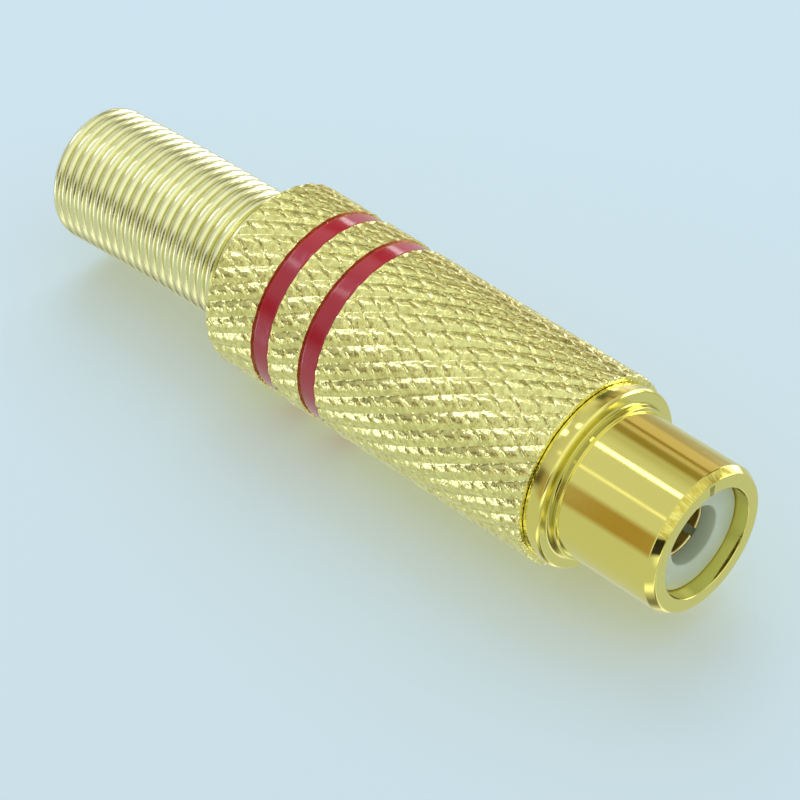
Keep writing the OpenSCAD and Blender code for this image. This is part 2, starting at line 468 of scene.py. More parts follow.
@dataclass(frozen=True)
class Effects:
    """The node groups that several finishes share.

    Attributes:
        drift: Slow change of colour over a surface.
        handling: Fine marks and smears that change the roughness.
        grain: A fine height for bumps.
        turning: The rings that a lathe tool leaves, as a height.
        chatter_and_shade: Short marks along the axis, where a lathe tool shook, with painted shade
            spread evenly over them where a stretch asks for it.
    """

    drift: bpy.types.NodeTree
    handling: bpy.types.NodeTree
    grain: bpy.types.NodeTree
    turning: bpy.types.NodeTree
    chatter_and_shade: bpy.types.NodeTree

    @classmethod
    def build(cls) -> "Effects":
        """Builds every group once."""
        return cls(
            cls._drift(), cls._handling(), cls._grain(), cls._turning(), cls._chatter_and_shade()
        )

    @staticmethod
    def _drift() -> bpy.types.NodeTree:
        """Mixes a second colour in by a soft noise."""
        graph, given, out = new_group(
            "colour_drift",
            [
                ("Vector", SocketKind.VECTOR, (0, 0, 0)),
                ("Colour", SocketKind.COLOUR, (1, 1, 1, 1)),
                ("Second Colour", SocketKind.COLOUR, (1, 1, 1, 1)),
                ("Amount", SocketKind.FLOAT, 0.3),
                ("Scale", SocketKind.FLOAT, 400.0),
            ],
            [("Colour", SocketKind.COLOUR)],
        )
        shown = (0.35, 0.68)
        slow = graph.noise(given.outputs["Vector"], given.outputs["Scale"], 3.0)
        share = graph.math("MULTIPLY", graph.ramp(slow, *shown), given.outputs["Amount"])
        mixed = graph.mix(share, given.outputs["Colour"], given.outputs["Second Colour"])
        graph.feed(out, 0, mixed)
        return graph.tree

    @staticmethod
    def _handling() -> bpy.types.NodeTree:
        """Adds smears and fine marks to a roughness."""
        graph, given, out = new_group(
            "handling_marks",
            [
                ("Vector", SocketKind.VECTOR, (0, 0, 0)),
                ("Roughness", SocketKind.FLOAT, 0.1),
                ("Smears", SocketKind.FLOAT, 0.05),
                ("Marks", SocketKind.FLOAT, 0.05),
            ],
            [("Roughness", SocketKind.FLOAT)],
        )
        smear_scale, smear_shown = 700.0, (0.4, 0.7)
        mark_scale, mark_shown = 9000.0, (0.62, 0.72)
        smear = graph.ramp(graph.noise(given.outputs["Vector"], smear_scale, 3.0), *smear_shown)
        mark = graph.ramp(graph.noise(given.outputs["Vector"], mark_scale, 1.0), *mark_shown)
        soft = graph.math("MULTIPLY", smear, given.outputs["Smears"])
        fine = graph.math("MULTIPLY", mark, given.outputs["Marks"])
        total = graph.math("ADD", graph.math("ADD", soft, fine), given.outputs["Roughness"])
        graph.feed(out, 0, total)
        return graph.tree

    @staticmethod
    def _grain() -> bpy.types.NodeTree:
        """A fine uneven height, with now and then a small pit."""
        graph, given, out = new_group(
            "plate_grain",
            [
                ("Vector", SocketKind.VECTOR, (0, 0, 0)),
                ("Scale", SocketKind.FLOAT, 5000.0),
                ("Pits", SocketKind.FLOAT, 0.5),
            ],
            [("Height", SocketKind.FLOAT)],
        )
        pit_scale, pit_shown = 0.6, (0.66, 0.78)
        fine = graph.noise(given.outputs["Vector"], given.outputs["Scale"], 3.0)
        coarse = graph.math("MULTIPLY", given.outputs["Scale"], pit_scale)
        pit = graph.ramp(graph.noise(given.outputs["Vector"], coarse, 1.0), *pit_shown)
        pits = graph.math("MULTIPLY", pit, given.outputs["Pits"])
        graph.feed(out, 0, graph.math("SUBTRACT", fine, pits))
        return graph.tree

    @staticmethod
    def _turning() -> bpy.types.NodeTree:
        """Rings along Z and across the faces, as a lathe tool leaves them."""
        graph, given, out = new_group(
            "turning_rings",
            [
                ("Vector", SocketKind.VECTOR, (0, 0, 0)),
                ("Rings per Metre", SocketKind.FLOAT, 20000.0),
            ],
            [("Height", SocketKind.FLOAT)],
        )
        parts = graph.add("ShaderNodeSeparateXYZ", Vector=given.outputs["Vector"])
        x_squared = graph.math("POWER", parts.outputs[0], 2.0)
        y_squared = graph.math("POWER", parts.outputs[1], 2.0)
        radius = graph.math("SQRT", graph.math("ADD", x_squared, y_squared))
        place = graph.math("ADD", parts.outputs[2], radius)
        flat = graph.add("ShaderNodeCombineXYZ", Z=place)
        graph.feed(out, 0, graph.noise(flat.outputs[0], given.outputs["Rings per Metre"], 3.0))
        return graph.tree

    @staticmethod
    def _chatter_and_shade() -> bpy.types.NodeTree:
        """Marks that change quickly round the outside, between two heights, with painted shade over
        them where asked for.

        They fade out towards both heights, away from their middle and inside the bore. Even spreads
        the Mask over the whole stretch, which paints shade into the colour.
        """
        graph, given, out = new_group(
            "lathe_chatter_and_shade",
            [
                ("Vector", SocketKind.VECTOR, (0, 0, 0)),
                ("Marks", SocketKind.FLOAT, 26.0),
                ("Low", SocketKind.FLOAT, 0.0),
                ("High", SocketKind.FLOAT, 0.0005),
                ("Middle", SocketKind.FLOAT, 0.0),
                ("Reach", SocketKind.FLOAT, 0.0),
                ("Even", SocketKind.FLOAT, 0.0),
            ],
            [("Height", SocketKind.FLOAT), ("Mask", SocketKind.FLOAT)],
        )
        marks_along_per_metre = 1800.0
        end_fade = 0.03 * MM
        side_fade = 0.15
        bore_r, outside_r = 3.4 * MM, 3.6 * MM
        dull_shown = (0.70, 0.42)
        parts = graph.add("ShaderNodeSeparateXYZ", Vector=given.outputs["Vector"])
        angle = graph.math("ARCTAN2", parts.outputs[1], parts.outputs[0])
        turned_by = graph.math("MULTIPLY", angle, given.outputs["Marks"])
        along = graph.math("MULTIPLY", parts.outputs[2], marks_along_per_metre)
        place = graph.add("ShaderNodeCombineXYZ", X=turned_by, Z=along)
        low, high = given.outputs["Low"], given.outputs["High"]
        squares = [graph.math("POWER", parts.outputs[axis], 2.0) for axis in (0, 1)]
        outside = graph.ramp(graph.math("ADD", *squares), bore_r ** 2, outside_r ** 2)
        above = graph.ramp(parts.outputs[2], graph.math("SUBTRACT", low, end_fade), low)
        under = graph.ramp(parts.outputs[2], graph.math("ADD", high, end_fade), high)
        mask = graph.math("MULTIPLY", graph.math("MULTIPLY", above, under), outside)
        off_middle = graph.math("SUBTRACT", angle, given.outputs["Middle"])
        reach = given.outputs["Reach"]
        edge = graph.math("COSINE", graph.math("ADD", reach, side_fade))
        near = graph.ramp(graph.math("COSINE", off_middle), edge, graph.math("COSINE", reach))
        marks = graph.math("MULTIPLY", graph.noise(place.outputs[0], 1.0, 2.0), near)
        dulled_and_shaded = graph.math("MULTIPLY", graph.ramp(marks, *dull_shown), near)
        # Even spreads the dull colour over the whole stretch: painted shade
        dulled_and_shaded = graph.math("MAXIMUM", dulled_and_shaded, given.outputs["Even"])
        graph.feed(out, 0, graph.math("MULTIPLY", marks, mask))
        graph.feed(out, 1, graph.math("MULTIPLY", dulled_and_shaded, mask))
        return graph.tree


@dataclass(frozen=True)
class Finish:
    """What every finish has: a name, a colour and a roughness.

    Attributes:
        slot: The record's material slot, which also names the material.
        colour: Linear base colour.
        second: Linear colour that drifts into it.
        drift: How much of the second colour shows.
        roughness: Base roughness.
        smears: Roughness that smears add.
        marks: Roughness that fine marks add.
        drift_scale: How fine the colour's drift is.
    """

    slot: Slot
    colour: Colour
    second: Colour
    drift: float
    roughness: float
    smears: float
    marks: float
    drift_scale: float = 400.0

    def start(self, effects: Effects) -> tuple[bpy.types.Material, Graph, bpy.types.Node]:
        """Makes the material with its colour drift and handling marks.

        Args:
            effects: The shared node groups.

        Returns:
            The material, its graph and its Principled BSDF.
        """
        material = bpy.data.materials.new(self.slot)
        material.use_nodes = True
        graph = Graph(material.node_tree)
        shader = material.node_tree.nodes["Principled BSDF"]
        where = self.where(graph)
        tone = graph.add("ShaderNodeGroup", node_tree=effects.drift, Vector=where)
        graph.feed(tone, "Colour", (*self.colour, 1))
        graph.feed(tone, "Second Colour", (*self.second, 1))
        graph.feed(tone, "Amount", self.drift)
        graph.feed(tone, "Scale", self.drift_scale)
        wear = graph.add("ShaderNodeGroup", node_tree=effects.handling, Vector=where)
        graph.feed(wear, "Roughness", self.roughness)
        graph.feed(wear, "Smears", self.smears)
        graph.feed(wear, "Marks", self.marks)
        graph.feed(shader, "Base Color", tone.outputs[0])
        graph.feed(shader, "Roughness", wear.outputs[0])
        return material, graph, shader

    def build(self, effects: Effects) -> bpy.types.Material:
        """Makes the material with nothing but its colour and roughness."""
        return self.start(effects)[0]

    def where(self, graph: Graph) -> bpy.types.NodeSocket:
        """The coordinates that effects follow, in metres."""
        return graph.add("ShaderNodeTexCoord").outputs["Object"]

    def bump(
        self, graph: Graph, shader: bpy.types.Node, height: bpy.types.NodeSocket, depth: float
    ) -> None:
        """Feeds a height to the shader's normal.

        Args:
            graph: The material's graph.
            shader: Its Principled BSDF.
            height: The height, about 0 to 1.
            depth: Depth of the bumps in millimetres.
        """
        node = graph.add("ShaderNodeBump", Strength=1.0, Distance=depth * MM, Height=height)
        graph.feed(shader, "Normal", node.outputs[0])


@dataclass(frozen=True)
class ToolMarksAndShade:
    """A stretch of the outside where the lathe tool shook and left short marks, with painted shade
    where the dull colour is spread evenly.

    Attributes:
        low: Its first height in millimetres.
        high: Its last height.
        middle: Middle of the marks round the axis, in degrees.
        reach: How far they go to both sides, in degrees.
        depth: Their depth in millimetres.
        dull_and_shade: The dulled colour of the marks, which is also the colour of the painted
            shade.
        even_shade: Share of that colour between the marks too, which paints shade evenly over the
            stretch.
    """

    low: float
    high: float
    middle: float
    reach: float
    depth: float
    dull_and_shade: Colour
    even_shade: float = 0.0


@dataclass(frozen=True)
class GoldPlate(Finish):
    """Gold plate over turned, knurled or drawn metal.

    Attributes:
        rings: Rings per millimetre that a lathe tool leaves, or 0 for none.
        ring_depth: Their depth in millimetres.
        grain_depth: Depth of the plate's own unevenness in millimetres.
        grain_scale: How fine that is.
        shaken_and_shaded: Where the lathe tool shook, and where shade is painted into the colour.
        face_colour: Colour of the faces that look out of the mouth, or None for the same.
        face_roughness: Roughness that those faces have beyond the rest.
        facing: Z of the normal where that colour starts, and where it is full.
    """

    rings: float = 0.0
    ring_depth: float = 0.0
    grain_depth: float = 0.0006
    grain_scale: float = 3000.0
    shaken_and_shaded: tuple[ToolMarksAndShade, ...] = ()
    face_colour: Optional[Colour] = None
    face_roughness: float = 0.14
    facing: tuple[float, float] = (-0.75, -0.95)

    def build(self, effects: Effects) -> bpy.types.Material:
        """Makes the material."""
        material, graph, shader = self.start(effects)
        where = self.where(graph)
        grain = graph.add("ShaderNodeGroup", node_tree=effects.grain, Vector=where)
        graph.feed(grain, "Scale", self.grain_scale)
        height = graph.math("MULTIPLY", grain.outputs[0], self.grain_depth)
        if self.rings:
            tool = graph.add("ShaderNodeGroup", node_tree=effects.turning, Vector=where)
            graph.feed(tool, "Rings per Metre", self.rings / MM)
            rings = graph.math("MULTIPLY", tool.outputs[0], self.ring_depth)
            height = graph.math("ADD", height, rings)
        for stretch in self.shaken_and_shaded:
            chatter_and_shade = graph.add("ShaderNodeGroup", node_tree=effects.chatter_and_shade, Vector=where)
            graph.feed(chatter_and_shade, "Low", stretch.low * MM)
            graph.feed(chatter_and_shade, "High", stretch.high * MM)
            graph.feed(chatter_and_shade, "Middle", math.radians(stretch.middle))
            graph.feed(chatter_and_shade, "Reach", math.radians(stretch.reach))
            graph.feed(chatter_and_shade, "Even", stretch.even_shade)
            marks = graph.math("MULTIPLY", chatter_and_shade.outputs[0], stretch.depth)
            height = graph.math("ADD", height, marks)
            # Mixes in the dull colour of the marks, and painted shade where a stretch spreads it
            # evenly
            tone = shader.inputs["Base Color"].links[0].from_socket
            dulled_and_shaded = graph.mix(chatter_and_shade.outputs[1], tone, (*stretch.dull_and_shade, 1))
            graph.feed(shader, "Base Color", dulled_and_shaded)
        if self.face_colour:
            normal = graph.add("ShaderNodeTexCoord").outputs["Normal"]
            parts = graph.add("ShaderNodeSeparateXYZ", Vector=normal)
            face = graph.ramp(parts.outputs[2], *self.facing)
            tone = shader.inputs["Base Color"].links[0].from_socket
            worn = shader.inputs["Roughness"].links[0].from_socket
            paler = graph.mix(face, tone, (*self.face_colour, 1))
            graph.feed(shader, "Base Color", paler)
            added = graph.math("MULTIPLY", face, self.face_roughness)
            graph.feed(shader, "Roughness", graph.math("ADD", worn, added))
        graph.feed(shader, "Metallic", 1.0)
        # The height is already in millimetres
        self.bump(graph, shader, height, 1.0)
        return material


@dataclass(frozen=True)
class Moulded(Finish):
    """Moulded, pressed or drawn plastic and fibre.

    Attributes:
        grain_depth: Depth of the surface's grain in millimetres.
        grain_scale: How fine it is.
        subsurface: Share of light that goes in and comes out again.
        subsurface_depth: How far that light goes, in millimetres.
    """

    grain_depth: float = 0.002
    grain_scale: float = 4000.0
    subsurface: float = 0.0
    subsurface_depth: float = 0.4

    def build(self, effects: Effects) -> bpy.types.Material:
        """Makes the material."""
        material, graph, shader = self.start(effects)
        grain = graph.add("ShaderNodeGroup", node_tree=effects.grain, Vector=self.where(graph))
        graph.feed(grain, "Scale", self.grain_scale)
        graph.feed(shader, "Subsurface Weight", self.subsurface)
        graph.feed(shader, "Subsurface Scale", self.subsurface_depth * MM)
        self.bump(graph, shader, grain.outputs[0], self.grain_depth)
        return material


@dataclass(frozen=True)
class Enamel(Finish):
    """Glossy enamel that was run into a groove.

    Attributes:
        ripple: Depth of its waves in millimetres.
        ripple_scale: How fine they are.
        pits: How deep its pits are beside the waves.
        coat: Weight of the clear skin.
        coat_roughness: Roughness of that skin.
    """

    ripple: float = 0.012
    ripple_scale: float = 2600.0
    pits: float = 0.25
    coat: float = 0.35
    coat_roughness: float = 0.06

    def build(self, effects: Effects) -> bpy.types.Material:
        """Makes the material."""
        material, graph, shader = self.start(effects)
        grain = graph.add("ShaderNodeGroup", node_tree=effects.grain, Vector=self.where(graph))
        graph.feed(grain, "Scale", self.ripple_scale)
        graph.feed(grain, "Pits", self.pits)
        graph.feed(shader, "Coat Weight", self.coat)
        graph.feed(shader, "Coat Roughness", self.coat_roughness)
        self.bump(graph, shader, grain.outputs[0], self.ripple)
        return material


PLATE_GOLD = (0.84, 0.755, 0.195)
KNURL_GOLD = (0.955, 0.915, 0.348)
WIRE_GOLD = (0.86, 0.845, 0.45)
DEEP_GOLD = (0.82, 0.66, 0.18)

FINISHES: tuple[Finish, ...] = (
    GoldPlate(
        Slot.POLISHED_GOLD, PLATE_GOLD, DEEP_GOLD,
        drift=0.2, roughness=0.06, smears=0.04, marks=0.03,
        rings=9.0, ring_depth=0.0009, grain_depth=0.0008,
        shaken_and_shaded=(
            ToolMarksAndShade(
                low=0.02, high=0.45, middle=-107, reach=38, depth=0.006,
                dull_and_shade=(0.58, 0.48, 0.08),
            ),
            # The step and the hollow before the flange: tool marks, with painted shade of the
            # hollow spread over them
            ToolMarksAndShade(
                low=6.24, high=6.66, middle=-112, reach=16, depth=0.004,
                dull_and_shade=(0.40, 0.35, 0.05), even_shade=0.8,
            ),
        ),
        face_colour=(0.79, 0.74, 0.23),
    ),
    GoldPlate(
        Slot.KNURLED_GOLD, KNURL_GOLD, (0.54, 0.48, 0.13),
        drift=0.62, roughness=0.12, smears=0.06, marks=0.06, drift_scale=3000.0,
        grain_depth=0.04, grain_scale=4200.0,
    ),
    GoldPlate(
        Slot.SPRING_GOLD, WIRE_GOLD, (0.76, 0.73, 0.35),
        drift=0.45, roughness=0.19, smears=0.06, marks=0.05,
        grain_depth=0.004, grain_scale=6000.0,
    ),
    GoldPlate(
        Slot.CONTACT_GOLD, (0.80, 0.68, 0.30), (0.66, 0.53, 0.20),
        drift=0.5, roughness=0.28, smears=0.08, marks=0.05,
    ),
    Moulded(
        Slot.WHITE_INSERT, (0.66, 0.72, 0.55), (0.56, 0.62, 0.46),
        drift=0.5, roughness=0.34, smears=0.08, marks=0.05, subsurface=0.25,
    ),
    Moulded(
        Slot.BROWN_FIBRE, (0.20, 0.10, 0.045), (0.13, 0.06, 0.03),
        drift=0.6, roughness=0.62, smears=0.1, marks=0.1,
        grain_depth=0.012, grain_scale=2500.0,
    ),
    Enamel(
        Slot.RED_ENAMEL, (0.47, 0.010, 0.024), (0.36, 0.010, 0.020),
        drift=0.5, roughness=0.14, smears=0.06, marks=0.08,
    ),
    Moulded(
        Slot.SLEEVE_FILM, (0.70, 0.71, 0.64), (0.62, 0.62, 0.55),
        drift=0.3, roughness=0.3, smears=0.05, marks=0.05,
    ),
)


@dataclass
class Dresser:
    """Gives pieces their finish, body and slot, and reports each one.

    Attributes:
        materials: The finished materials by slot.
    """

    materials: dict[Slot, bpy.types.Material]

    @classmethod
    def build(cls) -> "Dresser":
        """Builds every finish."""
        effects = Effects.build()
        return cls({finish.slot: finish.build(effects) for finish in FINISHES})

    def dress(
        self, piece: bpy.types.Object, slot: Slot, body: Body, replaced: Optional[str] = None
    ) -> None:
        """Finishes one piece.

        Args:
            piece: The object.
            slot: Its material slot.
            body: The body it rides on.
            replaced: Node of the frame that it stands for.
        """
        piece.data.materials.clear()
        piece.data.materials.append(self.materials[slot])
        if replaced:
            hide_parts(replaced)
        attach(piece, body.value)
        LOG.info("%s: %d faces, finish %s", piece.name, len(piece.data.polygons), slot)

    def dress_node(self, node: str, slot: Slot) -> None:
        """Finishes a node of the frame that keeps its own mesh.

        Args:
            node: The node's name.
            slot: Its material slot.
        """
        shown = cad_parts[node]
        if shown.data.materials:
            for number in range(len(shown.data.materials)):
                shown.data.materials[number] = self.materials[slot]
        else:
            shown.data.materials.append(self.materials[slot])
        LOG.info("%s: kept as built, finish %s", node, slot)


@dataclass
class Thread:
    """A right-hand thread of rounded V form.

    Attributes:
        pitch: Distance between turns.
        depth: Depth from crest to root.
        steepness: How steep its flanks are, where 1 is a plain V without flats.
        crest: Share of the depth that the flat crest cuts off.
        rows: Mesh rows in one turn.
    """

    pitch: float = 0.75
    depth: float = 0.36
    steepness: float = 1.25
    crest: float = 0.12
    rows: int = 14

    def cut(self, heights: np.ndarray, angles: np.ndarray) -> np.ndarray:
        """How far the thread's surface lies below its crest.

        Args:
            heights: Heights along the axis.
            angles: Angles round it.

        Returns:
            The depths, 0 at the crest.
        """
        phase = (heights / self.pitch - angles / (2 * math.pi)) % 1.0
        ridge = np.abs(phase - 0.5) * 2
        return self.depth * smooth_step(ridge * self.steepness - self.crest)


@dataclass
class SocketBody:
    """Barrel, step, flange and threaded boss, turned from one bar and gold plated.

    Attributes:
        span: The frame's own solid.
        insert: The insert, whose collar lies in the boss's pocket.
        thread: The boss's thread.
        barrel_r: Radius of the barrel that a plug's sleeve grips.
        barrel_len: Its length.
        bore_r: Radius of the mouth.
        lip_len: Length of the bevel round the mouth.
        lip_drop: How far that bevel takes the edge in.
        ridge_rise: How far the small step stands out of the barrel.
        cove: How far the flange's face lies behind the step's end.
        step_len: Length of the step.
        flange_len: Length of the flange.
        flange_bevel: How far the flange's front edge is broken, inwards and along the axis.
        thread_r: Radius over the boss's thread.
        run_out: Length of the plain stretch between the flange and the thread.
        thread_end: Distance from the thread's last turn to the boss's back.
        pocket_r: Radius of the boss's pocket.
        rim_opening_r: Opening of the rolled rim.
        rim_thick: Thickness of that rim.
        collar_len: Thickness of the insert's collar.
        edge: Radius of the broken edges.
        hair: A distance that keeps two faces of the section apart.
        columns: Mesh steps round the axis.
    """

    span: Span = field(default_factory=lambda: Span.of("socket_body"))
    insert: Span = field(default_factory=lambda: Span.of("front_insulator"))
    thread: Thread = field(default_factory=Thread)
    barrel_r: float = 4.15
    barrel_len: float = 6.2
    bore_r: float = 3.12
    lip_len: float = 0.47
    lip_drop: float = 0.27
    ridge_rise: float = 0.19
    cove: float = 0.14
    step_len: float = 0.3
    flange_len: float = 1.12
    flange_bevel: tuple[float, float] = (0.12, 0.14)
    thread_r: float = 4.5
    run_out: float = 0.5
    thread_end: float = 0.3
    pocket_r: float = 3.6
    rim_opening_r: float = 3.25
    rim_thick: float = 0.45
    collar_len: float = 1.2
    edge: float = 0.05
    hair: float = 0.02
    columns: int = 192

    def outline(self) -> list[tuple[float, float]]:
        """The turned section, with its edges broken."""
        boss_z = self.barrel_len + self.step_len + self.flange_len + self.hair
        face_z = self.barrel_len + self.step_len + self.cove
        ridge_r = self.barrel_r + self.ridge_rise
        flange_r = self.span.radius
        bevel_in, bevel_along = self.flange_bevel
        root = self.thread_r - self.thread.depth
        end = self.span.high
        rim_z = end - self.rim_thick
        collar_z = self.insert.high - self.collar_len
        front = rounded([
            Corner(self.bore_r, 0, self.edge),
            Corner(self.barrel_r - self.lip_drop, 0, 0.16),
            Corner(self.barrel_r, self.lip_len, 0.2),
            Corner(self.barrel_r, self.barrel_len, 0.03),
            Corner(ridge_r, self.barrel_len, 0.07),
            Corner(ridge_r, face_z, 0.42),
            Corner(flange_r - bevel_in, face_z, 0.10),
            Corner(flange_r, face_z + bevel_along, 0.12),
            Corner(flange_r, boss_z, 0.03),
            Corner(root, boss_z, 0.04),
        ])
        start = boss_z - self.hair + self.run_out
        row = self.thread.pitch / self.thread.rows
        turns_z = steps_between(start, end - self.thread_end, row)
        threaded = [(self.thread_r, z) for z in turns_z]
        back = rounded([
            Corner(root, end - self.hair),
            Corner(root - self.edge, end, 0.04),
            Corner(self.rim_opening_r, end, self.edge),
            Corner(self.rim_opening_r, rim_z, self.edge),
            Corner(self.pocket_r, rim_z),
            Corner(self.pocket_r, collar_z),
            Corner(self.bore_r, collar_z),
        ])
        return [*front, (root, start - 0.1), *threaded, *back]

    def displace(
        self, radii: np.ndarray, heights: np.ndarray, angles: np.ndarray
    ) -> np.ndarray:
        """Cuts the thread into the boss."""
        on_thread = np.isclose(radii, self.thread_r)
        cut = self.thread.cut(heights, angles)
        return np.where(on_thread, radii - cut, radii)

    def build(self, dresser: Dresser) -> None:
        """Makes and dresses the piece."""
        piece = displaced_turning("gilt_body", self.outline(), self.displace, self.columns)
        dresser.dress(piece, Slot.POLISHED_GOLD, Body.JACK, "socket_body")


@dataclass
class FrontInsert:
    """White moulded insert with the hole for a plug's pin.

    Attributes:
        span: The frame's own solid.
        hole_r: Radius of the pin's hole.
        wall: Thickness of the front wall.
        cavity_r: Radius of the cavity that the contact lies in.
        barrel_fit_r: Radius in the barrel.
        collar_len: Thickness of the collar.
        columns: Mesh steps round the axis.
    """

    span: Span = field(default_factory=lambda: Span.of("front_insulator"))
    hole_r: float = 1.67
    wall: float = 1.0
    cavity_r: float = 2.07
    barrel_fit_r: float = 3.1
    collar_len: float = 1.2
    columns: int = 160

    def build(self, dresser: Dresser) -> None:
        """Makes and dresses the piece."""
        low, high = self.span.low, self.span.high
        outline = rounded([
            Corner(self.hole_r, low, 0.14),
            Corner(self.barrel_fit_r, low, 0.10),
            Corner(self.barrel_fit_r, high - self.collar_len),
            Corner(self.span.radius, high - self.collar_len, 0.06),
            Corner(self.span.radius, high, 0.06),
            Corner(self.cavity_r, high, 0.05),
            Corner(self.cavity_r, low + self.wall),
            Corner(self.hole_r, low + self.wall, 0.04),
        ])
        piece = turned("white_insert", outline, self.columns)
        dresser.dress(piece, Slot.WHITE_INSERT, Body.JACK, "front_insulator")


@dataclass
class CentreContact:
    """Split, gold-plated tube for a plug's pin, with a solder cup behind it.

    Attributes:
        span: The frame's own solid.
        washer: The washer that its shoulder rests on, with the cup behind it.
        bore_r: Radius of the bore for a plug's pin.
        back: Distance from the bore's floor to the shoulder.
        stem_r: Radius of the stem and of the cup.
        cup_floor: Thickness of the solder cup's floor.
        cup_closed: Length of the cup's part that isn't cut open.
        cup_r: Radius of the cup's bore.
        slot_w: Width of the slots between the fingers.
        slot_len: Their length.
        slot_angle: Direction of the first slot, in degrees.
        columns: Mesh steps round the axis.
    """

    span: Span = field(default_factory=lambda: Span.of("centre_contact"))
    washer: Span = field(default_factory=lambda: Span.of("rear_washer"))
    bore_r: float = 1.6
    back: float = 2.04
    stem_r: float = 0.95
    cup_floor: float = 0.4
    cup_closed: float = 1.0
    cup_r: float = 0.6
    slot_w: float = 0.45
    slot_len: float = 4.2
    slot_angle: float = 45.0
    columns: int = 96

    def build(self, dresser: Dresser) -> None:
        """Makes and dresses the piece."""
        low, high, outer = self.span.low, self.span.high, self.span.radius
        shoulder_z = self.washer.low
        floor_z = shoulder_z - self.back
        cup_floor_z = self.washer.high + self.cup_floor
        outline = rounded([
            Corner(0, floor_z),
            Corner(self.bore_r, floor_z, 0.1),
            Corner(self.bore_r, low, 0.13),
            Corner(outer, low, 0.08),
            Corner(outer, shoulder_z, 0.08),
            Corner(self.stem_r, shoulder_z, 0.04),
            Corner(self.stem_r, high, 0.05),
            Corner(self.cup_r, high, 0.05),
            Corner(self.cup_r, cup_floor_z, 0.1),
            Corner(0, cup_floor_z),
        ])
        piece = turned("pin_contact", outline, self.columns)
        past = 1.0
        reach = outer + past / 2
        half = self.slot_w / 2
        slot_high = low + self.slot_len
        for angle in (self.slot_angle, self.slot_angle + 90):
            self.cut(piece, (-half, -reach, low - past), (half, reach, slot_high), angle)
        opened_z = self.washer.high + self.cup_closed
        self.cut(piece, (-reach, 0, opened_z), (reach, reach, high + past))
        dresser.dress(piece, Slot.CONTACT_GOLD, Body.JACK, "centre_contact")

    def cut(
        self,
        piece: bpy.types.Object,
        low: tuple[float, float, float],
        high: tuple[float, float, float],
        angle: float = 0.0,
    ) -> None:
        """Cuts a block out of a piece.

        Args:
            piece: The object that is cut.
            low: The block's lowest corner.
            high: The block's highest corner.
            angle: How far the block is turned about the axis, in degrees.
        """
        (west, south, bottom), (east, north, top) = low, high
        flat = [(x, y) for y in (south, north) for x in (west, east)]
        corners = np.array([(*place, z) for z in (bottom, top) for place in flat])
        cosine, sine = math.cos(math.radians(angle)), math.sin(math.radians(angle))
        corners = corners @ np.array([[cosine, sine, 0], [-sine, cosine, 0], [0, 0, 1]])
        faces = [(0, 2, 3, 1), (4, 5, 7, 6), (0, 1, 5, 4), (2, 6, 7, 3), (0, 4, 6, 2), (1, 3, 7, 5)]
        block = mesh_object("slot_cutter", corners, faces)
        modifier = piece.modifiers.new("cut", "BOOLEAN")
        modifier.operation = "DIFFERENCE"
        modifier.solver = "EXACT"
        modifier.object = block
        evaluated = piece.evaluated_get(bpy.context.evaluated_depsgraph_get())
        mesh = bpy.data.meshes.new_from_object(evaluated)
        piece.modifiers.clear()
        piece.data = mesh
        mesh.set_sharp_from_angle(angle=math.radians(CREASE))
        bpy.data.objects.remove(block)


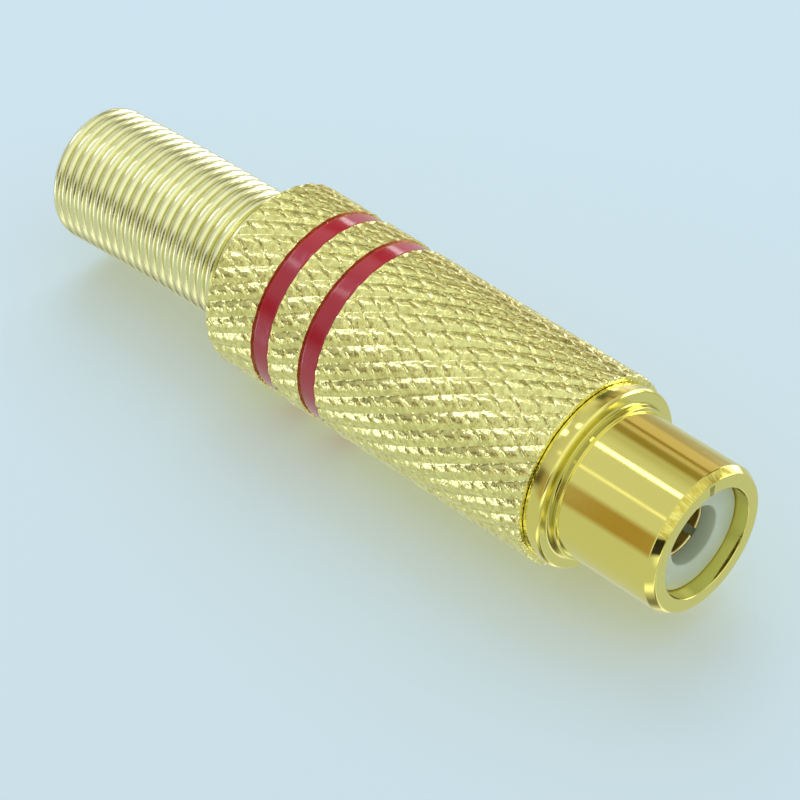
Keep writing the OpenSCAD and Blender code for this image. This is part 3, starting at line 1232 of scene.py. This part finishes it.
@dataclass
class Knurl:
    """Diamond knurl: V grooves of both hands, rolled into the shell.

    Attributes:
        count: Grooves round the shell in each direction.
        angle: Their angle to the axis, in degrees.
        depth: Depth of the main grooves.
        peak_r: Radius over the diamonds.
        start_z: A height at which the mesh has a row.
        main_start: Where a main groove lies there, as a share of the grooves' spacing.
        cross_start: The same for the grooves of the other hand.
        main_width: Width of a main groove, as a share of the grooves' spacing.
        roundness: How hollow its sides are, where 1 is a plain V.
        cross_width: Width of a groove of the other hand, as the same share.
        cross_depth: Depth of that groove, as a share of the main grooves' depth.
        crossing: How much deeper two grooves are where they cross, as a share of the shallower.
        main_waver: How far a main groove wanders, as a share of the spacing.
        cross_waver: The same for the grooves of the other hand.
        crown: How far a diamond's sides fall away from its middle, as a share of the depth.
        uneven: How far the lowest diamond stands below the highest, as a share of the depth.
        lean: How far a diamond's one side can stand above its other, as a share of the depth.
        grit: Height of the small roughness that the roller leaves.
        steps: Mesh steps from one groove to the next.
    """

    count: int
    angle: float
    depth: float
    peak_r: float
    start_z: float
    main_start: float = 0.56
    cross_start: float = 0.14
    main_width: float = 0.84
    roundness: float = 1.1
    cross_width: float = 0.33
    cross_depth: float = 0.70
    crossing: float = 0.4
    main_waver: float = 0.02
    cross_waver: float = 0.03
    crown: float = 0.12
    uneven: float = 0.12
    lean: float = 0.13
    grit: float = 0.003
    steps: int = 12

    def radii(self, heights: np.ndarray, angles: np.ndarray) -> np.ndarray:
        """The knurled surface.

        Args:
            heights: Heights along the axis.
            angles: Angles round it.

        Returns:
            The surface's distance from the axis at each place.
        """
        along = (heights - self.start_z) / self.diamond_length
        turns = angles / (2 * math.pi) * self.count
        first = turns + along + self.main_start
        first += self.main_waver * np.sin(1.3 * along + 6 * angles)
        second = turns - along + self.cross_start
        second += self.cross_waver * np.sin(1.9 * along - 4 * angles)
        from_main = np.abs(first - np.round(first)) * 2
        from_cross = np.abs(second - np.round(second)) * 2
        main = np.clip(1 - from_main / self.main_width, 0, 1) ** self.roundness
        cross = self.cross_depth * (1 - from_cross / self.cross_width)
        diamond = np.floor(first) % self.count, np.floor(second) % self.count
        across_it = first - np.floor(first) - 0.5
        along_it = second - np.floor(second) - 0.5
        lowered = self.uneven * hashed(*diamond)
        lowered += 2 * self.crown * (across_it ** 2 + along_it ** 2)
        lowered += self.lean * (hashed(diamond[1], diamond[0]) - 0.5) * across_it * 2
        lowered += self.lean * (hashed(diamond[0] + 7, diamond[1]) - 0.5) * along_it * 2
        lowered += self.lean / 4
        grit = self.grit * hashed(np.round(turns * self.steps), np.round(along * self.steps))
        groove = np.maximum(main, cross)
        groove += self.crossing * np.clip(np.minimum(main, cross), 0, 1)
        return self.peak_r - self.depth * np.maximum(groove, np.clip(lowered, 0, 1)) - grit

    @property
    def diamond_length(self) -> float:
        """Length of one diamond along the axis."""
        width = 2 * math.pi * self.peak_r / self.count
        return width / math.tan(math.radians(self.angle))

    def rows(self, low: float, high: float) -> list[float]:
        """Heights of the mesh's rows, on the grid that the grooves follow.

        Args:
            low: First height.
            high: Last height.

        Returns:
            The rows from low to high.
        """
        step = self.diamond_length / self.steps
        first = math.ceil((low - self.start_z) / step + 0.25)
        last = math.floor((high - self.start_z) / step - 0.25)
        return [low, *(self.start_z + number * step for number in range(first, last + 1)), high]


@dataclass
class KnurledShell:
    """Screw-on cover with a diamond knurl, two band grooves and an internal thread.

    Attributes:
        span: The frame's own solid.
        front: The front band, which fills the groove nearer the mouth.
        rear: The rear band.
        thread: The shell's thread.
        thread_len: How far the thread goes in.
        thread_start: Where its first turn lies.
        relief_len: Length of the plain stretch behind it.
        knurl_depth: Depth of the knurl.
        knurl_count: Grooves round the shell in each direction.
        knurl_angle: Their angle to the axis, in degrees.
        band_groove: Depth of the grooves for the bands.
        rim_drop: How far the knurl falls at least, where a groove for a band begins.
        rim_slope: How far it rises from there for each millimetre along the axis.
        bore_r: Radius of the bore.
        hole_r: Radius of the hole that the spring comes out of.
        seat_r: Radius of the countersink that the spring's widest turn bears in.
        seat_depth: Its depth.
        end_wall: Thickness of the end wall.
        bevel: How far the two end edges are taken in.
        edge_rows: How far inside an end edge the end face has its two rows.
        skirt: Distance from an end face to the first row of the knurl.
        hole_bevel: Width of the broken edge round the hole.
        hair: How far the peaks stay inside the frame's own solid.
    """

    span: Span = field(default_factory=lambda: Span.of("knurled_shell"))
    front: Span = field(default_factory=lambda: Span.of("front_band"))
    rear: Span = field(default_factory=lambda: Span.of("rear_band"))
    thread: Thread = field(default_factory=lambda: Thread(depth=0.2, rows=7))
    thread_len: float = 5.6
    thread_start: float = 0.35
    relief_len: float = 1.0
    knurl_depth: float = 0.15
    knurl_count: int = 33
    knurl_angle: float = 29.5
    band_groove: float = 0.4
    rim_drop: float = 0.06
    rim_slope: float = 1.1
    bore_r: float = 4.55
    hole_r: float = 3.97
    seat_r: float = 4.42
    seat_depth: float = 0.45
    end_wall: float = 1.6
    bevel: float = 0.1
    edge_rows: tuple[float, float] = (0.14, 0.03)
    skirt: float = 0.03
    hole_bevel: float = 0.08
    hair: float = 0.002

    @property
    def shell_r(self) -> float:
        """Radius over the knurl's peaks."""
        return self.span.radius - self.hair

    def knurl(self) -> Knurl:
        """The knurl's own sizes."""
        half = math.pi * self.shell_r / self.knurl_count / math.tan(math.radians(self.knurl_angle))
        return Knurl(
            self.knurl_count, self.knurl_angle, self.knurl_depth, self.shell_r,
            self.span.low - half,
        )

    def outline(self) -> list[tuple[float, float]]:
        """The shell's section. Points at shell_r are the ones that carry the knurl."""
        knurl = self.knurl()
        outer = self.shell_r
        groove_r = outer - self.band_groove
        edge_r = outer - self.bevel
        low, high = self.span.low, self.span.high
        wall_z = high - self.end_wall
        relief_z = low + self.thread_len + self.relief_len
        end_rows = [edge_r - row for row in self.edge_rows]
        mouth_r = self.bore_r + 0.05
        points = [(mouth_r, low), *((radius, low) for radius in end_rows)]
        stretches = (
            (low + self.skirt, self.front.low),
            (self.front.high, self.rear.low),
            (self.rear.high, high - self.skirt),
        )
        for number, (start, end) in enumerate(stretches):
            if number:
                points.append((groove_r, start))
            points += [(outer, z) for z in self.rows(knurl, start, end)]
            if number < len(stretches) - 1:
                points.append((groove_r, end))
        points += [(radius, high) for radius in reversed(end_rows)]
        points += [
            (self.hole_r + self.hole_bevel, high), (self.hole_r, high - self.hole_bevel),
            (self.hole_r, wall_z + self.seat_depth), (self.seat_r, wall_z),
            (self.bore_r, wall_z), (self.bore_r, relief_z),
        ]
        first_z, last_z = low + self.thread_len, low + self.thread_start
        thread_z = steps_between(first_z, last_z, self.thread.pitch / self.thread.rows)
        return points + [(self.bore_r, z) for z in thread_z]

    def rows(self, knurl: Knurl, start: float, end: float) -> list[float]:
        """The knurl's rows in one stretch, with closer ones at both ends.

        Args:
            knurl: The knurl.
            start: First height.
            end: Last height.

        Returns:
            The rows' heights.
        """
        near, spare = (0.04, 0.09), 0.05
        before = [start + reach for reach in near]
        after = [end - reach for reach in reversed(near)]
        middle = knurl.rows(before[-1] + spare, after[0] - spare)
        return [start, *before, *middle, *after, end]

    def displace(
        self, radii: np.ndarray, heights: np.ndarray, angles: np.ndarray
    ) -> np.ndarray:
        """Rolls the knurl into the outside and cuts the thread inside."""
        outside = np.isclose(radii, self.shell_r)
        knurled = self.knurl().radii(heights, angles)
        edges = (self.front.low, self.front.high, self.rear.low, self.rear.high)
        to_groove = np.min([np.abs(heights - edge) for edge in edges], axis=0)
        rim = self.shell_r - self.rim_drop - self.rim_slope * to_groove
        to_end = np.minimum(heights - self.span.low, self.span.high - heights)
        limit = self.shell_r - self.bevel + to_end
        knurled = np.minimum(np.maximum(knurled, rim), limit)
        inside = np.isclose(radii, self.bore_r) & (heights < self.span.low + self.thread_len)
        cut = self.thread.cut(heights, angles)
        return np.where(outside, knurled, np.where(inside, radii + cut, radii))

    def build(self, dresser: Dresser) -> None:
        """Makes and dresses the piece."""
        columns = self.knurl_count * self.knurl().steps
        piece = displaced_turning(
            "knurled_cover", self.outline(), self.displace, columns, crease=32.0, grooved=True
        )
        dresser.dress(piece, Slot.KNURLED_GOLD, Body.SHELL, "knurled_shell")


@dataclass
class EnamelBand:
    """Red enamel that fills one of the shell's grooves and falls away at its walls.

    Attributes:
        node: The frame's node that it stands for.
        name: The piece's name.
        groove_r: Radius of the groove's floor.
        sunk: How far its edges lie below the frame's own solid.
        filled: Share of that by which its middle stands higher than its edges.
        creep: Width along which it climbs at the groove's walls.
        swell: How far its skin rises and falls round the shell.
        rows: Mesh rows across the band.
        columns: Mesh steps round the axis.
    """

    node: str
    name: str
    groove_r: float = 5.05
    sunk: float = 0.10
    filled: float = 0.8
    creep: float = 0.16
    swell: float = 0.012
    rows: int = 25
    columns: int = 240

    def build(self, dresser: Dresser) -> None:
        """Makes and dresses the piece."""
        span = Span.of(self.node)
        heights = np.linspace(span.low, span.high, self.rows)
        to_edge = np.minimum(heights - span.low, span.high - heights)
        rise = self.filled * self.sunk * smooth_step(to_edge / self.creep)
        skin = list(zip(span.radius - self.sunk + rise, heights))
        outline = [(self.groove_r, span.low), *skin, (self.groove_r, span.high)]

        def displace(
            radii: np.ndarray, heights: np.ndarray, angles: np.ndarray
        ) -> np.ndarray:
            """Leaves the enamel's skin slightly uneven."""
            wave = np.sin(7 * angles + 3 * heights) + np.sin(17 * angles - 2 * heights)
            on_skin = radii > self.groove_r + 0.1
            return np.where(on_skin, radii - self.swell * (1 + wave / 2) / 2, radii)

        piece = displaced_turning(self.name, outline, displace, self.columns)
        dresser.dress(piece, Slot.RED_ENAMEL, Body.SHELL, self.node)


@dataclass
class ReliefSpring:
    """Close-wound spring: wide turns held in the shell, then the free turns for the cable.

    Attributes:
        shell: The shell, whose end wall holds the wide turns.
        wire_d: Diameter of the wire.
        pitch: Distance between turns.
        spring_d: Diameter over the free turns.
        held_turns: Number of wide turns.
        narrowing_turns: Turns in which the coil narrows.
        spring_out: How far the spring stands out of the shell.
        end_wall: Thickness of the shell's end wall.
        seat_depth: Depth of the countersink in it.
        bore_r: Radius of the shell's bore.
        held_gap: Play of the wide turns in it.
        droop: Angle by which the free end hangs, in degrees.
        wire_end_angle: Direction in which the wire ends, in degrees.
        wire_end: Share of the wire's radius at its last step, and at the one before.
        wire_sides: Mesh steps round the wire.
        turn_steps: Mesh steps in one turn.
        cad_turn_steps: Steps in one turn of the frame's own solid, which ends on a whole one.
    """

    shell: Span = field(default_factory=lambda: Span.of("knurled_shell"))
    wire_d: float = 0.62
    pitch: float = 0.64
    spring_d: float = 7.74
    held_turns: float = 2.25
    narrowing_turns: float = 0.5
    spring_out: float = 14.5
    end_wall: float = 1.6
    seat_depth: float = 0.45
    bore_r: float = 4.55
    held_gap: float = 0.13
    droop: float = 5.0
    wire_end_angle: float = 60.0
    wire_end: tuple[float, float] = (0.55, 0.88)
    wire_sides: int = 16
    turn_steps: int = 60
    cad_turn_steps: int = 18

    def centre_line(self) -> tuple[np.ndarray, np.ndarray, np.ndarray]:
        """The coil before it droops.

        Returns:
            Angle, coil radius and height of the wire's centre at each step.
        """
        wire_r = self.wire_d / 2
        droop_len = self.spring_out - wire_r
        top = self.shell.high + droop_len
        narrow_z = self.shell.high - self.end_wall + self.seat_depth - wire_r
        held_z = narrow_z - (self.held_turns + self.narrowing_turns) * self.pitch
        cad_steps = math.floor((top - held_z) / self.pitch * self.cad_turn_steps)
        total = cad_steps / self.cad_turn_steps
        turns = np.linspace(0, total, round(total * self.turn_steps) + 1)
        held_r = self.bore_r - self.held_gap - wire_r
        free_r = self.spring_d / 2 - wire_r
        share = smooth_step((turns - self.held_turns) / self.narrowing_turns)
        radii = held_r + (free_r - held_r) * share
        angles = np.radians(self.wire_end_angle) + 2 * math.pi * (turns - total)
        return angles, radii, held_z + turns * self.pitch

    def drooped(self, points: np.ndarray) -> np.ndarray:
        """Carries points of the straight coil onto its drooping centre line.

        Args:
            points: Points of the straight coil.

        Returns:
            The points as they lie.
        """
        length = self.spring_out - self.wire_d / 2
        bend_r = length / math.radians(self.droop)
        along = np.maximum(points[..., 2] - self.shell.high, 0)
        turn = np.radians(self.droop) * along / length
        below = np.minimum(points[..., 2], self.shell.high)
        sideways = bend_r * (1 - np.cos(turn)) + points[..., 1] * np.cos(turn)
        upwards = below + bend_r * np.sin(turn) - points[..., 1] * np.sin(turn)
        return np.stack([points[..., 0], sideways, upwards], axis=-1)

    def build(self, dresser: Dresser) -> None:
        """Makes and dresses the piece."""
        angles, radii, heights = self.centre_line()
        wire_r = np.full(len(angles), self.wire_d / 2)
        wire_r[:2] *= self.wire_end
        wire_r[-2:] *= self.wire_end[::-1]
        around = np.linspace(0, 2 * math.pi, self.wire_sides, endpoint=False)
        out = radii[:, None] + wire_r[:, None] * np.cos(around)
        up = heights[:, None] + wire_r[:, None] * np.sin(around)
        points = self.drooped(
            np.stack([out * np.cos(angles)[:, None], out * np.sin(angles)[:, None], up], axis=-1)
        )
        faces = ring_faces(len(angles), self.wire_sides, False)
        last = (len(angles) - 1) * self.wire_sides
        faces.append(tuple(range(self.wire_sides)))
        faces.append(tuple(range(last, last + self.wire_sides)))
        piece = mesh_object("relief_coil", points.reshape(-1, 3), faces, crease=50.0)
        dresser.dress(piece, Slot.SPRING_GOLD, Body.SPRING, "relief_spring")


@dataclass
class PhotoView:
    """The camera, where the photograph's camera stood.

    Attributes:
        stand: Where it stands, in millimetres.
        target: A point on its line of sight.
        up: The direction that is up in the picture, away from what the socket lies on.
        focal: Focal length in pixels of the picture.
        picture: Width of the picture in pixels.
        sensor: Width of the camera's sensor in millimetres.
        nearest: What the camera can see first, in millimetres.
    """

    stand: tuple[float, float, float] = (-101.1, -118.6, -77.9)
    target: tuple[float, float, float] = (1.69, 5.45, 22.81)
    up: tuple[float, float, float] = (0.0, -1.0, 0.0)
    focal: float = 3529.0
    picture: int = 800
    sensor: float = 36.0
    nearest: float = 1.0

    def build(self) -> None:
        """Makes the camera."""
        data = bpy.data.cameras.new("photo_view")
        data.sensor_width = self.sensor
        data.lens = self.focal / self.picture * self.sensor
        data.clip_start = self.nearest * MM
        camera = bpy.data.objects.new("photo_view", data)
        stand, target = Vector(self.stand) * MM, Vector(self.target) * MM
        forward = (target - stand).normalized()
        right = forward.cross(Vector(self.up)).normalized()
        upward = right.cross(forward)
        camera.matrix_world = matrix_of(right, upward, -forward, stand)
        bpy.context.scene.collection.objects.link(camera)
        bpy.context.scene.camera = camera
        LOG.info("camera: lens %.1f mm", data.lens)


def matrix_of(x: Vector, y: Vector, z: Vector, place: Vector) -> Matrix:
    """The matrix that has these axes and this place."""
    return Matrix((
        (x.x, y.x, z.x, place.x),
        (x.y, y.y, z.y, place.y),
        (x.z, y.z, z.z, place.z),
        (0, 0, 0, 1),
    ))


@dataclass(frozen=True)
class Softbox:
    """A soft lamp that looks at the middle of the socket.

    Attributes:
        name: Its name.
        direction: Where it stands, seen from the socket.
        distance: How far away, in millimetres.
        size: Its two sides, in millimetres.
        power: Its power in watts.
        colour: Its colour.
    """

    name: str
    direction: tuple[float, float, float]
    distance: float
    size: tuple[float, float]
    power: float
    colour: Colour = (1.0, 1.0, 1.0)

    def build(self, target: Vector) -> None:
        """Hangs the lamp.

        Args:
            target: What it looks at, in metres.
        """
        data = bpy.data.lights.new(self.name, "AREA")
        data.shape = "RECTANGLE"
        data.size, data.size_y = (side * MM for side in self.size)
        data.energy = self.power
        data.color = self.colour
        lamp = bpy.data.objects.new(self.name, data)
        away = Vector(self.direction).normalized()
        lamp.location = target + away * self.distance * MM
        lamp.rotation_mode = "QUATERNION"
        lamp.rotation_quaternion = away.to_track_quat("Z", "Y")
        lamp.visible_glossy = False
        bpy.context.scene.collection.objects.link(lamp)


@dataclass(frozen=True)
class Reflection:
    """Something in the room that only shows as a reflection on the metal.

    Attributes:
        azimuth: Direction of its middle round the socket's axis, in degrees from +X.
        half_width: Half of the angle that it takes up there, in degrees.
        low: Z of the direction to its lower edge, which is the cosine of the angle to +Z.
        high: The same for its upper edge.
        colour: Its colour, where 1 is white.
        soft: How softly it ends, in degrees.
    """

    azimuth: float
    half_width: float
    low: float
    high: float
    colour: Colour
    soft: float


def grey(level: float) -> Colour:
    """A neutral light of this strength."""
    return level, level, level


# Z of the directions that the plain barrel mirrors, and of those that the enamel mirrors
BARREL_BAND = (0.31, 0.48)
ENAMEL_BAND = (0.53, 0.58)

# A later one covers the ones before it
ROOM: tuple[Reflection, ...] = (
    # Dark and light parts of the room, seen in the spring and the knurl
    Reflection(-168, 14, 0.50, 0.85, grey(0.17), 5),
    Reflection(-167, 9, 0.485, 0.60, (0.10, 0.08, 0.03), 3),
    Reflection(-120, 40, 0.55, 1.1, grey(0.52), 9),
    Reflection(-62, 12, 0.50, 0.85, grey(0.86), 5),
    Reflection(-38, 14, 0.10, 0.66, (0.12, 0.14, 0.09), 4),
    Reflection(-26, 12, 0.55, 0.76, grey(0.34), 4),
    Reflection(-105, 12, 0.62, 0.86, (2.8, 2.9, 4.2), 4),
    Reflection(-5, 14, -0.08, 0.47, (2.9, 2.9, 3.9), 4),
    # Parts in front of the mouth, seen in the bevel, the step and the flange's edges
    Reflection(-22, 30, -0.80, -0.28, grey(0.60), 6),
    Reflection(157, 14, 0.61, 0.78, (2.4, 2.5, 3.6), 3),
    Reflection(172, 14, -0.85, -0.50, grey(1.5), 5),
    Reflection(-168, 14, -0.85, -0.55, grey(0.55), 6),
    Reflection(-172, 13, -0.68, -0.16, grey(0.04), 3),
    Reflection(-13, 12, -0.58, -0.24, grey(5.0), 4),
    # Two small lamps, seen in the enamel
    Reflection(-109, 3, *ENAMEL_BAND, grey(5.0), 1.5),
    Reflection(-21, 4, *ENAMEL_BAND, grey(6.0), 1.5),
    # Bands along the barrel
    Reflection(-174, 15.5, *BARREL_BAND, (0.43, 0.30, 0.12), 4),
    Reflection(-68, 9, *BARREL_BAND, (0.53, 0.53, 0.45), 6),
    Reflection(-56.5, 6.5, *BARREL_BAND, (0.33, 0.26, 0.10), 3),
    Reflection(-24, 14, *BARREL_BAND, (0.72, 0.59, 0.49), 3),
    Reflection(8, 6, *BARREL_BAND, (0.54, 0.54, 0.57), 2),
    Reflection(-5, 10, *BARREL_BAND, (0.49, 0.43, 0.39), 3),
    Reflection(-45, 4.5, *BARREL_BAND, (0.66, 0.54, 0.45), 2),
    Reflection(-38, 2.6, *BARREL_BAND, (0.36, 0.26, 0.10), 1.5),
    # Two lights with a dark gap on the far side
    Reflection(76, 5, -0.80, 0.16, grey(1.5), 4),
    Reflection(98, 10, -0.80, 0.16, grey(0.24), 6),
    Reflection(124, 6, -0.80, 0.16, grey(1.4), 4),
    # Two bright streaks along the barrel
    Reflection(-95, 2.8, *BARREL_BAND, grey(3.6), 1.0),
    Reflection(-132, 2, *BARREL_BAND, grey(1.2), 1.2),
)


@dataclass
class Studio:
    """Pale surroundings, soft lamps, the floor it stands on and the surface it lies on.

    Attributes:
        pale: Colour of the backdrop.
        sky: What the metal reflects from above and behind.
        front_sky: The same from in front of the mouth.
        ground: What it reflects from below.
        below_fade: Where the ground begins, as Y of the direction.
        front_fade: Where the part in front of the mouth begins, as Z of the direction.
        fill: Colour of the light that comes from all sides.
        fill_strength: Its strength.
        surface_colour: Colour of the floor and of the surface.
        surface_painted_glow: Painted light that they give off, a warm glow that lightens their
            shade as light thrown back by the gold would.
        surface_roughness: Their roughness.
        surface_gloss: How strongly they mirror.
        reach: Length of their sides in millimetres.
        fade: Where they have faded out and where they begin to, as shares of that length.
        middle: Height of the point that the lamps look at, in millimetres.
        lamps: The lamps.
    """

    pale: Colour = (0.61, 0.76, 0.86)
    sky: Colour = (0.72, 0.765, 0.81)
    front_sky: Colour = (1.06, 1.11, 1.15)
    ground: Colour = (0.63, 0.68, 0.65)
    below_fade: tuple[float, float] = (-0.06, 0.06)
    front_fade: tuple[float, float] = (0.30, -0.40)
    fill: Colour = (0.74, 0.84, 0.90)
    fill_strength: float = 0.85
    surface_colour: Colour = (0.295, 0.485, 0.69)
    # Painted light: a warm glow that lightens the shade on the floor and the surface
    surface_painted_glow: Colour = (0.33, 0.275, 0.12)
    surface_roughness: float = 0.6
    surface_gloss: float = 0.2
    reach: float = 400.0
    fade: tuple[float, float] = (0.48, 0.30)
    middle: float = 20.0
    lamps: tuple[Softbox, ...] = (
        Softbox("key", direction=(0.7, -1.0, 0.6), distance=330, size=(230, 230), power=0.33),
        Softbox("top", direction=(-0.1, -0.95, 0.2), distance=300, size=(260, 260), power=0.10),
    )

    def build(self) -> None:
        """Makes the surroundings."""
        scene = bpy.context.scene
        scene.view_settings.view_transform = "Standard"
        self.world(scene)
        target = Vector((0, 0, self.middle * MM))
        for lamp in self.lamps:
            lamp.build(target)
        half = self.reach / 2 * MM
        lying = Span.of("knurled_shell").radius * MM
        self.plane("resting_floor", [
            (-half, -half, 0), (half, -half, 0), (half, half, 0), (-half, half, 0),
        ])
        self.plane("lying_surface", [
            (-half, lying, -half), (half, lying, -half), (half, lying, half), (-half, lying, half),
        ])

    def world(self, scene: bpy.types.Scene) -> None:
        """Gives the scene a pale sky, and the metal a room to reflect."""
        world = bpy.data.worlds.new("pale_room")
        scene.world = world
        world.use_nodes = True
        graph = Graph(world.node_tree)
        world.node_tree.nodes.clear()
        out = graph.add("ShaderNodeOutputWorld")
        seen = graph.add("ShaderNodeBackground", Color=(*self.pale, 1), Strength=1.0)
        fill = graph.add(
            "ShaderNodeBackground", Color=(*self.fill, 1), Strength=self.fill_strength
        )
        mirrored = graph.add("ShaderNodeBackground", Color=self.reflections(graph), Strength=1.0)
        path = graph.add("ShaderNodeLightPath")
        direct = graph.math(
            "MAXIMUM", path.outputs["Is Camera Ray"], path.outputs["Is Transmission Ray"]
        )
        both = self.choose(graph, direct, fill, seen)
        every = self.choose(graph, path.outputs["Is Glossy Ray"], both, mirrored)
        graph.feed(out, 0, every.outputs[0])
        world.cycles.sampling_method = "NONE"

    @staticmethod
    def choose(
        graph: Graph, share: object, first: bpy.types.Node, second: bpy.types.Node
    ) -> bpy.types.Node:
        """Mixes two shaders.

        Args:
            graph: The world's graph.
            share: Share of the second shader, an output.
            first: First shader.
            second: Second shader.

        Returns:
            The mixed shader.
        """
        node = graph.add("ShaderNodeMixShader")
        graph.feed(node, 0, share)
        graph.feed(node, 1, first.outputs[0])
        graph.feed(node, 2, second.outputs[0])
        return node

    def reflections(self, graph: Graph) -> bpy.types.NodeSocket:
        """Paints what the metal reflects, from the back to the front.

        Args:
            graph: The world's graph.

        Returns:
            The colour of the room in each direction.
        """
        patch = self.patch_group()
        where = graph.add("ShaderNodeTexCoord").outputs["Generated"]
        parts = graph.add("ShaderNodeSeparateXYZ", Vector=where)
        below = graph.ramp(parts.outputs[1], *self.below_fade)
        front = graph.ramp(parts.outputs[2], *self.front_fade)
        sky = graph.mix(front, (*self.sky, 1), (*self.front_sky, 1))
        colour = graph.mix(below, sky, (*self.ground, 1))
        for thing in ROOM:
            mask = graph.add("ShaderNodeGroup", node_tree=patch, Vector=where)
            graph.feed(mask, "Cosine", math.cos(math.radians(thing.azimuth)))
            graph.feed(mask, "Sine", math.sin(math.radians(thing.azimuth)))
            graph.feed(mask, "Outer", math.radians(thing.half_width + thing.soft))
            graph.feed(mask, "Inner", math.radians(thing.half_width - thing.soft))
            graph.feed(mask, "Low", thing.low)
            graph.feed(mask, "High", thing.high)
            graph.feed(mask, "Soft", math.radians(thing.soft))
            colour = graph.mix(mask.outputs[0], colour, (*thing.colour, 1))
        return colour

    @staticmethod
    def patch_group() -> bpy.types.NodeTree:
        """A mask of directions round one azimuth, between two heights."""
        numbers = ("Cosine", "Sine", "Outer", "Inner", "Low", "High", "Soft")
        inputs = [("Vector", SocketKind.VECTOR, (0, 0, 0))]
        inputs += [(label, SocketKind.FLOAT, 0.0) for label in numbers]
        graph, given, out = new_group("room_patch", inputs, [("Mask", SocketKind.FLOAT)])
        parts = graph.add("ShaderNodeSeparateXYZ", Vector=given.outputs["Vector"])
        x, y, z = parts.outputs
        forward_x = graph.math("MULTIPLY", x, given.outputs["Cosine"])
        forward_y = graph.math("MULTIPLY", y, given.outputs["Sine"])
        forward = graph.math("ADD", forward_x, forward_y)
        squares = [graph.math("MULTIPLY", side, side) for side in (x, y)]
        flat = graph.math("SQRT", graph.math("ADD", *squares))
        angle = graph.math("ARCCOSINE", graph.math("DIVIDE", forward, flat))
        beside = graph.ramp(angle, given.outputs["Outer"], given.outputs["Inner"])
        soft = given.outputs["Soft"]
        low, high = given.outputs["Low"], given.outputs["High"]
        above = graph.ramp(z, graph.math("SUBTRACT", low, soft), graph.math("ADD", low, soft))
        under = graph.ramp(z, graph.math("ADD", high, soft), graph.math("SUBTRACT", high, soft))
        graph.feed(out, 0, graph.math("MULTIPLY", beside, graph.math("MULTIPLY", above, under)))
        return graph.tree

    def plane(self, name: str, corners: Sequence[tuple[float, float, float]]) -> None:
        """Makes a surface that shows from its front side only and fades out far from the socket.

        Args:
            name: Its name.
            corners: Its corners in metres, anticlockwise as seen from the front.
        """
        mesh = bpy.data.meshes.new(name)
        mesh.from_pydata(corners, [], [(0, 1, 2, 3)])
        surface = bpy.data.objects.new(name, mesh)
        bpy.context.scene.collection.objects.link(surface)
        material = bpy.data.materials.new(name)
        material.use_nodes = True
        graph = Graph(material.node_tree)
        shader = material.node_tree.nodes["Principled BSDF"]
        graph.feed(shader, "Base Color", (*self.surface_colour, 1))
        graph.feed(shader, "Roughness", self.surface_roughness)
        graph.feed(shader, "Specular IOR Level", self.surface_gloss)
        # Painted light: the warm glow lightens the socket's shade on the surface and stands in for
        # light thrown back by the gold
        graph.feed(shader, "Emission Color", (*self.surface_painted_glow, 1))
        graph.feed(shader, "Emission Strength", 1.0)
        where = graph.add("ShaderNodeTexCoord").outputs["Object"]
        length = graph.add("ShaderNodeVectorMath", operation="LENGTH")
        graph.feed(length, 0, where)
        gone, fading = (share * self.reach * MM for share in self.fade)
        near = graph.ramp(length.outputs["Value"], gone, fading)
        back = graph.add("ShaderNodeNewGeometry").outputs["Backfacing"]
        shown = graph.math("MULTIPLY", near, graph.math("SUBTRACT", 1.0, back))
        clear = graph.add("ShaderNodeBsdfTransparent")
        mixed = graph.add("ShaderNodeMixShader")
        graph.feed(mixed, 0, shown)
        graph.feed(mixed, 1, clear.outputs[0])
        graph.feed(mixed, 2, shader.outputs[0])
        graph.feed(material.node_tree.nodes["Material Output"], "Surface", mixed.outputs[0])
        mesh.materials.append(material)
        surface.visible_shadow = False
        surface.visible_diffuse = False
        surface.visible_glossy = False
        surface.visible_transmission = False


def write_sizes() -> None:
    """Brings the view layer up to date.
    """
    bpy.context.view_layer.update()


def main() -> None:
    """Builds the socket's looks around the frame."""
    logging.basicConfig(level=logging.INFO, format="%(name)s %(message)s")
    PhotoView().build()
    dresser = Dresser.build()
    SocketBody().build(dresser)
    FrontInsert().build(dresser)
    CentreContact().build(dresser)
    KnurledShell().build(dresser)
    EnamelBand("front_band", "front_enamel").build(dresser)
    EnamelBand("rear_band", "rear_enamel").build(dresser)
    ReliefSpring().build(dresser)
    dresser.dress_node("ground_tag", Slot.CONTACT_GOLD)
    dresser.dress_node("rear_washer", Slot.BROWN_FIBRE)
    dresser.dress_node("insulating_sleeve", Slot.SLEEVE_FILM)
    Studio().build()
    write_sizes()


if __name__ == "__main__":
    main()
